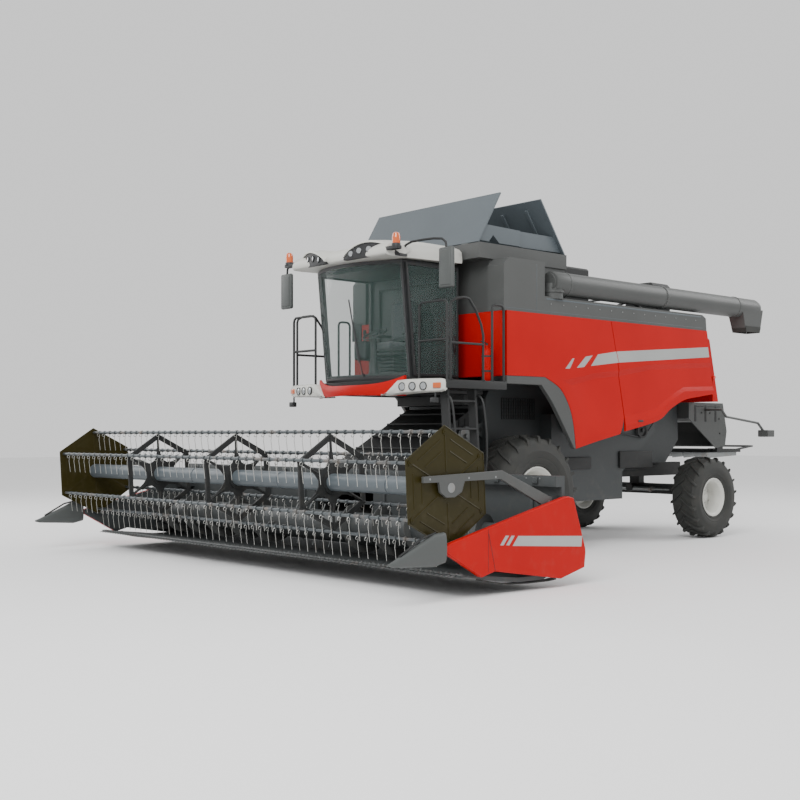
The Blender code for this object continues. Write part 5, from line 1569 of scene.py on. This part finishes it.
@dataclass
class CabRoof:
    """The moulded roof with lamp pods, beacons and mirrors."""

    def build(self) -> None:
        """Dress the roof."""
        shell = Piece("roof_shell")
        section = spline([(-0.964, 4.02), (-0.964, 4.16), (-1.03, 4.222), (-1.40, 4.2395),
                          (-1.90, 4.232), (-2.22, 4.19), (-2.335, 4.12), (-2.357, 4.05),
                          (-2.33, 4.000), (-2.20, 3.992)], 4)
        half = [(0.999, 0.72), (0.992, 0.86), (0.97, 0.94), (0.90, 0.985), (0.5, 1.0)]
        shell.loft([[at(x, -1.66 + (y + 1.66) * (0.97 + 0.03 * scale), 3.992 + (z - 3.992) * scale)
                     for y, z in section]
                    for x, scale in [*((-x, scale) for x, scale in half), (0.0, 1.0), *half[::-1]]])
        shell.done(Finish.ROOF, replaces=("cab_roof",))
        pods, lens, brows = Piece("roof_lamp_pods"), Piece("roof_lamps"), Piece("roof_brows")
        for side in (1, -1):
            self._pod(pods, lens, brows, side)
        brows.done(Finish.ROOF, smooth=50)
        pods.box(at(-0.30, -2.352, 4.005), at(0.30, -2.20, 4.05), 0.02)
        pods.box(at(-0.60, -1.60, 3.981), at(0.60, -1.10, 4.02), 0.004)
        pods.done(Finish.PLASTIC)
        lens.done(Finish.LAMP)
        self._beacons()
        self._mirrors()
        hatch = Piece("roof_hatch")
        hatch.box(at(-0.42, -1.85, 4.232), at(0.42, -1.15, 4.252), 0.012)
        hatch.box(at(-0.52, -1.12, 4.20), at(0.52, -1.02, 4.236), 0.010)
        hatch.done(Finish.ROOF)

    def _pod(self, pods: Piece, lens: Piece, brows: Piece, side: int) -> None:
        """One arched lamp housing that turns round a front corner, under a white brow."""
        rings, brow = [], []
        for step in range(21):
            t = step / 20
            x, y, rise = self._pod_line(t)
            top = 4.028 + rise
            rings.append(across(side, [(x, y, 4.0), (x, y - 0.012, 4.012 + rise * 0.4), (x, y, top),
                                       (x * 0.96, y + 0.16, top), (x * 0.96, y + 0.16, 4.0)]))
            back = 4.15 + 0.085 * abs(math.sin(math.pi * t)) ** 0.5
            brow.append(across(side, [(x, y - 0.020, top + 0.002), (x, y - 0.012, top + 0.028),
                                      (x * 0.97, y + 0.12, max(back, top + 0.026)),
                                      (x * 0.90, y + 0.45, 4.225), (x * 0.90, y + 0.45, 4.19),
                                      (x * 0.97, y + 0.12, top + 0.002)]))
        pods.loft(rings)
        brows.loft(brow)
        for t in (0.17, 0.34, 0.52, 0.70):
            x, y, rise = self._pod_line(t)
            lamp(pods, lens, at(side * x, y - 0.004, 4.018 + rise * 0.55), (side * 0.35, -1, 0), 0.045)

    @staticmethod
    def _pod_line(t: float) -> Point:
        """Plan position and rise along a lamp housing, from the roof's middle to its corner."""
        return (0.20 + 0.86 * t, -2.395 + 0.24 * t ** 2.2, 0.165 * abs(math.sin(math.pi * t)) ** 0.75)

    def _beacons(self) -> None:
        """Amber turning lights on brackets at the roof's corners."""
        feet, domes = Piece("beacon_feet"), Piece("beacon_domes")
        for side in (1, -1):
            low, high = sorted((side * 0.96, side * 1.198))
            feet.box(at(low, -2.347, 4.052), at(high, -2.253, 4.098), 0.008)
            place = at(side * 1.14, -2.30, 4.085)
            feet.turned([(0.0, 0.0), (0.058, 0.0), (0.058, 0.035), (0.053, 0.042), (0.0, 0.042)],
                        place, (0, 0, 1), 28)
            domes.turned([(0.0, 0.038), (0.052, 0.038), (0.054, 0.11), (0.050, 0.145), (0.040, 0.172),
                          (0.018, 0.183), (0.0, 0.1845)], place, (0, 0, 1), 28)
        feet.done(Finish.PLASTIC)
        domes.done(Finish.AMBER)

    def _mirrors(self) -> None:
        """Tall mirror heads with padded backs on bent arms."""
        arms, heads, glass = Piece("mirror_arms"), Piece("mirror_heads"), Piece("mirror_glass")
        for side in (1, -1):
            points = [(0.98, -2.05, 4.10), (1.06, -2.05, 4.145), (1.16, -2.047, 4.172),
                      (1.34, -2.01, 4.18), (1.50, -1.98, 4.18), (1.62, -1.95, 4.165),
                      (1.675, -1.938, 4.12), (1.69, -1.935, 4.03)]
            arms.tube(across(side, points), 0.0155, 12)
            low, high = sorted((side * 1.562, side * 1.818))
            heads.box(at(low, -1.965, 3.535), at(high, -1.905, 4.055), 0.028)
            heads.box(at(low + 0.03, -1.974, 3.57), at(high - 0.03, -1.945, 4.02), 0.013)
            for foot, top in ((3.72, 4.035), (3.56, 3.70)):
                glass.box(at(low + 0.02, -1.9055, foot), at(high - 0.02, -1.9025, top), 0.001)
        arms.done(Finish.FRAME)
        heads.done(Finish.MOULD_GREY)
        glass.done(Finish.MIRROR)


@dataclass
class Front:
    """The red strip under the windscreen, lamp clusters and their carrier."""

    def build(self) -> None:
        """Make the strip and the lamps."""
        strip = Piece("valance_strip")
        rings = []
        for step in range(41):
            u = -1 + step / 20
            y = -1.95 - 0.24 * (1 - u * u)
            top = 2.345 + 0.115 * abs(u) ** 3.5
            low = 2.192 + 0.02 * (1 - abs(u))
            x = u * 0.899
            rings.append([at(x, y + 0.045, low), at(x, y + 0.006, low), at(x, y + 0.001, low + 0.012),
                          at(x, y + 0.004, top - 0.012), at(x, y + 0.012, top), at(x, y + 0.045, top)])
        strip.loft(rings)
        strip.done(Finish.RED, replaces=("front_valance",))
        carrier = Piece("valance_carrier")
        carrier.box(at(-0.85, -1.955, 2.242), at(0.85, -0.405, 2.4085), 0.008)
        carrier.box(at(-0.70, -0.638, 2.095), at(0.70, -0.302, 2.29), 0.008)
        for x in (-0.6, -0.2, 0.2, 0.6):
            carrier.box(at(x - 0.03, -1.90, 2.225), at(x + 0.03, -0.45, 2.245), 0.004)
        carrier.done(Finish.FRAME)
        shells, lens, rims = Piece("lamp_shells"), Piece("front_lamps"), Piece("lamp_rims")
        for side in (1, -1):
            shells.loft([self._shell_ring(side * x, front, low, high) for x, front, low, high in (
                (0.60, -2.092, 2.196, 2.206), (0.70, -2.078, 2.196, 2.262),
                (0.80, -2.062, 2.198, 2.345), (0.862, -2.058, 2.205, 2.392),
                (1.05, -2.056, 2.215, 2.402), (1.33, -1.997, 2.222, 2.403),
                (1.56, -1.942, 2.226, 2.400), (1.615, -1.918, 2.240, 2.385),
                (1.628, -1.900, 2.27, 2.36))])
            for x, y in ((0.98, -2.052), (1.15, -2.030), (1.32, -1.994)):
                lamp(rims, lens, at(side * x, y + 0.004, 2.306), (side * 0.18, -1, 0), 0.056)
            x = side * 1.50
            rims.rod(at(x, -1.95, 2.225), at(x, -1.95, 2.15), 0.012, 10)
            rims.box(at(x - 0.045, -2.01, 2.085), at(x + 0.045, -1.93, 2.155), 0.012)
        shells.done(Finish.WHITE)
        rims.done(Finish.PLASTIC)
        lens.done(Finish.LAMP)
        turn = Piece("turn_lamps")
        for side in (1, -1):
            low, high = sorted((side * 1.47, side * 1.585))
            turn.box(at(low, -1.965, 2.275), at(high, -1.938, 2.345), 0.008,
                     Matrix.Rotation(side * math.radians(14), 3, "Z"))
        turn.done(Finish.AMBER)

    @staticmethod
    def _shell_ring(x: float, front: float, low: float, high: float) -> list[Point]:
        """One section of a lamp cluster's shell."""
        back = max(-1.8915, front + 0.04)
        return flat(x, [(back, low), (front + 0.03, low), (front + 0.006, low + 0.02),
                        (front, (low + high) / 2), (front + 0.010, high - 0.018),
                        (front + 0.035, high), (back, high)])


@dataclass
class Platforms:
    """Walkways with tread plates and bent handrails, and the boarding ladder."""

    rail: float = 0.0168

    def build(self) -> None:
        """Make both platforms and the ladder."""
        for side, hand in SIDES:
            self._deck(side, hand)
            self._rails(side, hand)
        self._ladder()
        self._extinguisher()

    def _deck(self, side: int, hand: str) -> None:
        """The tread plate with its kick edge."""
        deck = Piece("walkway_" + hand)
        low, high = sorted((side * 0.9368, side * 1.639))
        deck.box(at(low, -1.888, 2.275), at(high, -0.762, 2.385), 0.008)
        for row in range(17):
            for col in range(10):
                x = low + 0.05 + col * 0.067
                y = -1.84 + row * 0.062
                turn = Matrix.Rotation(math.radians(45 if (row + col) % 2 else -45), 3, "Z")
                deck.box(at(x - 0.018, y - 0.004, 2.384), at(x + 0.018, y + 0.004, 2.389), 0, turn)
        deck.done(Finish.FRAME, replaces=("platform_" + hand,))

    def _rails(self, side: int, hand: str) -> None:
        """Bent handrails around the walkway."""
        rails = Piece("handrails_" + hand)
        loops = (
            [(1.10, -1.86, 2.30), (1.10, -1.86, 3.33), (1.112, -1.86, 3.372), (1.15, -1.86, 3.398),
             (1.57, -1.86, 3.398), (1.608, -1.86, 3.372), (1.62, -1.86, 3.33), (1.62, -1.86, 2.30)],
            [(1.10, -1.86, 2.90), (1.62, -1.86, 2.90)],
            [(1.62, -1.80, 2.30), (1.62, -1.80, 3.34), (1.62, -1.78, 3.39), (1.62, -1.70, 3.43),
             (1.62, -1.55, 3.456), (1.62, -1.46, 3.44), (1.62, -1.34, 3.30), (1.62, -1.24, 3.12),
             (1.62, -1.20, 2.98), (1.62, -1.20, 2.30)],
            [(1.61, -1.02, 2.30), (1.61, -1.02, 3.35), (1.61, -1.00, 3.388), (1.61, -0.96, 3.40),
             (1.61, -0.86, 3.40), (1.61, -0.82, 3.388), (1.61, -0.80, 3.35), (1.61, -0.80, 2.30)],
            [(1.62, -1.80, 2.86), (1.62, -1.20, 2.86)])
        for loop in loops:
            rails.tube(across(side, loop), self.rail, 14)
        feet = [(x, y, 2.384) for x, y in ((1.10, -1.86), (1.62, -1.80), (1.62, -1.20), (1.61, -1.02),
                                           (1.61, -0.80))]
        rails.bolts(across(side, feet), (0, 0, 0.012), 0.032, 16)
        rails.done(Finish.FRAME)

    def _ladder(self) -> None:
        """Folded stringers, open treads and curved hand holds."""
        ladder = Piece("ladder_frame")
        for y in (-1.78, -1.28):
            ladder.sheet([at(x, y - 0.019, z) for x, z in ((1.424, 2.268), (1.556, 2.268), (1.60, 1.72),
                          (1.676, 0.64), (1.66, 0.575), (1.62, 0.552), (1.57, 0.575), (1.545, 0.64))],
                         (0, 0.038, 0))
        for index in range(5):
            z = 0.66 + 0.36 * index
            x = 1.575 - 0.022 * index
            ladder.box(at(x - 0.068, -1.77, z + 0.002), at(x + 0.088, -1.29, z + 0.028), 0.005)
            ladder.boxes(9, at(x - 0.05, -1.73, z + 0.027), at(x + 0.07, -1.718, z + 0.034),
                         (0, 0.05, 0))
        ladder.done(Finish.FRAME, "boarding_ladder", ("boarding_ladder",), bevel=0.003)
        holds = Piece("ladder_holds")
        run = spline([(1.60, 1.06), (1.66, 1.10), (1.72, 1.30), (1.73, 1.60), (1.70, 1.90),
                      (1.66, 2.10), (1.60, 2.18), (1.54, 2.18)], 3)
        for y in (-1.815, -1.245):
            holds.tube([at(x, y, z) for x, z in run], 0.014, 10)
        holds.done(Finish.FRAME, "boarding_ladder")

    def _extinguisher(self) -> None:
        """A red fire extinguisher strapped beside the left walkway."""
        bottle = Piece("extinguisher")
        place = at(1.36, -0.86, 2.40)
        bottle.turned([(0.0, 0.0), (0.060, 0.0), (0.068, 0.012), (0.070, 0.04), (0.070, 0.36),
                       (0.062, 0.41), (0.035, 0.44), (0.022, 0.45), (0.022, 0.48), (0.0, 0.48)],
                      place, (0, 0, 1), 28)
        bottle.done(Finish.RED)
        fittings = Piece("extinguisher_valve")
        fittings.rod(at(1.36, -0.86, 2.87), at(1.36, -0.86, 2.91), 0.018, 14)
        fittings.tube([at(1.36, -0.86, 2.90), at(1.36, -0.92, 2.93), at(1.36, -0.98, 2.93)], 0.008, 8)
        for z in (2.52, 2.72):
            fittings.turned([(0.0705, z - 2.40), (0.0735, z - 2.40), (0.0735, z - 2.375),
                             (0.0705, z - 2.375)], place, (0, 0, 1), 28)
        fittings.done(Finish.PLASTIC)


# ---------------------------------------------------------------- the machine and its room
@dataclass
class Harvester:
    """Every sub-assembly of the machine, in the order it is dressed."""

    parts: list = field(default_factory=list)

    def __post_init__(self) -> None:
        """Name the sub-assemblies."""
        for side, hand in SIDES:
            for end, lugs, bolts, lug_height, planet_hub in (("front_", 21, 10, 0.045, True),
                                                             ("rear_", 19, 8, 0.036, False)):
                self.parts.append(Wheel(end + hand, end + "wheel_" + hand, end + "tyre_" + hand,
                                        end + "rim_" + hand, side, lugs, bolts, lug_height,
                                        planet_hub))
        self.parts += [Reel(), Header(), SidePanels(), Tank(), Deck(), Unloader(), Rear(), Chassis(),
                       Cab(), CabRoof(), Front(), Platforms()]

    def build(self) -> None:
        """Make every sub-assembly."""
        for part in self.parts:
            part.build()


@dataclass(frozen=True)
class Softbox:
    """One area light that looks at the machine."""

    name: str
    place: Point
    size: float
    power: float

    def hang(self, target: Vector) -> None:
        """Put the light in the scene."""
        data = bpy.data.lights.new(self.name, "AREA")
        data.shape = "SQUARE"
        data.size = self.size
        data.energy = self.power
        item = linked(self.name, data)
        item.location = self.place
        item.rotation_euler = (target - Vector(self.place)).to_track_quat("-Z", "Y").to_euler()


CAMERA_PLACE = (12.248, -13.229, 1.68)
CAMERA_TURN = 48.02
CAMERA_LENS = 52.46
CAMERA_SHIFT = 0.04325
FLOOR_REACH = 70.0
WORLD_STRENGTH = 1.0


def set_camera() -> None:
    """The three-quarter view from the front left."""
    data = bpy.data.cameras.new("camera")
    data.lens = CAMERA_LENS
    data.sensor_width = 36.0
    data.shift_y = CAMERA_SHIFT
    data.clip_end = 300.0
    item = linked("camera", data)
    item.location = CAMERA_PLACE
    item.rotation_euler = (math.radians(90), 0.0, math.radians(CAMERA_TURN))
    bpy.context.scene.camera = item


def set_room() -> None:
    """A pale floor, an even sky and three soft lights."""
    world = bpy.data.worlds.new("studio")
    bpy.context.scene.world = world
    world.use_nodes = True
    sky = world.node_tree.nodes["Background"]
    sky.inputs["Color"].default_value = (1.0, 1.0, 1.0, 1.0)
    sky.inputs["Strength"].default_value = WORLD_STRENGTH
    plane = Piece("floor")
    plane.sheet([(a * FLOOR_REACH, b * FLOOR_REACH, -0.05)
                 for a, b in ((-1, -1), (1, -1), (1, 1), (-1, 1))], (0, 0, 0.048))
    shade = Shader("floor_pale")
    tone = shade.noise(0.3, 2.0)
    shade.put("Base Color", shade.blend(tone, (0.86, 0.86, 0.86), (0.88, 0.88, 0.88)))
    shade.put("Roughness", 0.85)
    floor = linked("floor", plane.mesh())
    floor.data.materials.append(shade.material)
    target = Vector((0.0, 0.0, 1.8))
    for box in (Softbox("key", (9.0, -14.0, 13.0), 9.0, 2600.0),
                Softbox("fill", (-14.0, -8.0, 9.0), 10.0, 900.0),
                Softbox("rim", (6.0, 14.0, 12.0), 9.0, 1200.0)):
        box.hang(target)


def main() -> None:
    """Set the view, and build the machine."""
    logging.basicConfig(level=logging.INFO, format="%(name)s: %(message)s")
    set_camera()
    Harvester().build()
    set_room()


if __name__ == "__main__":
    main()
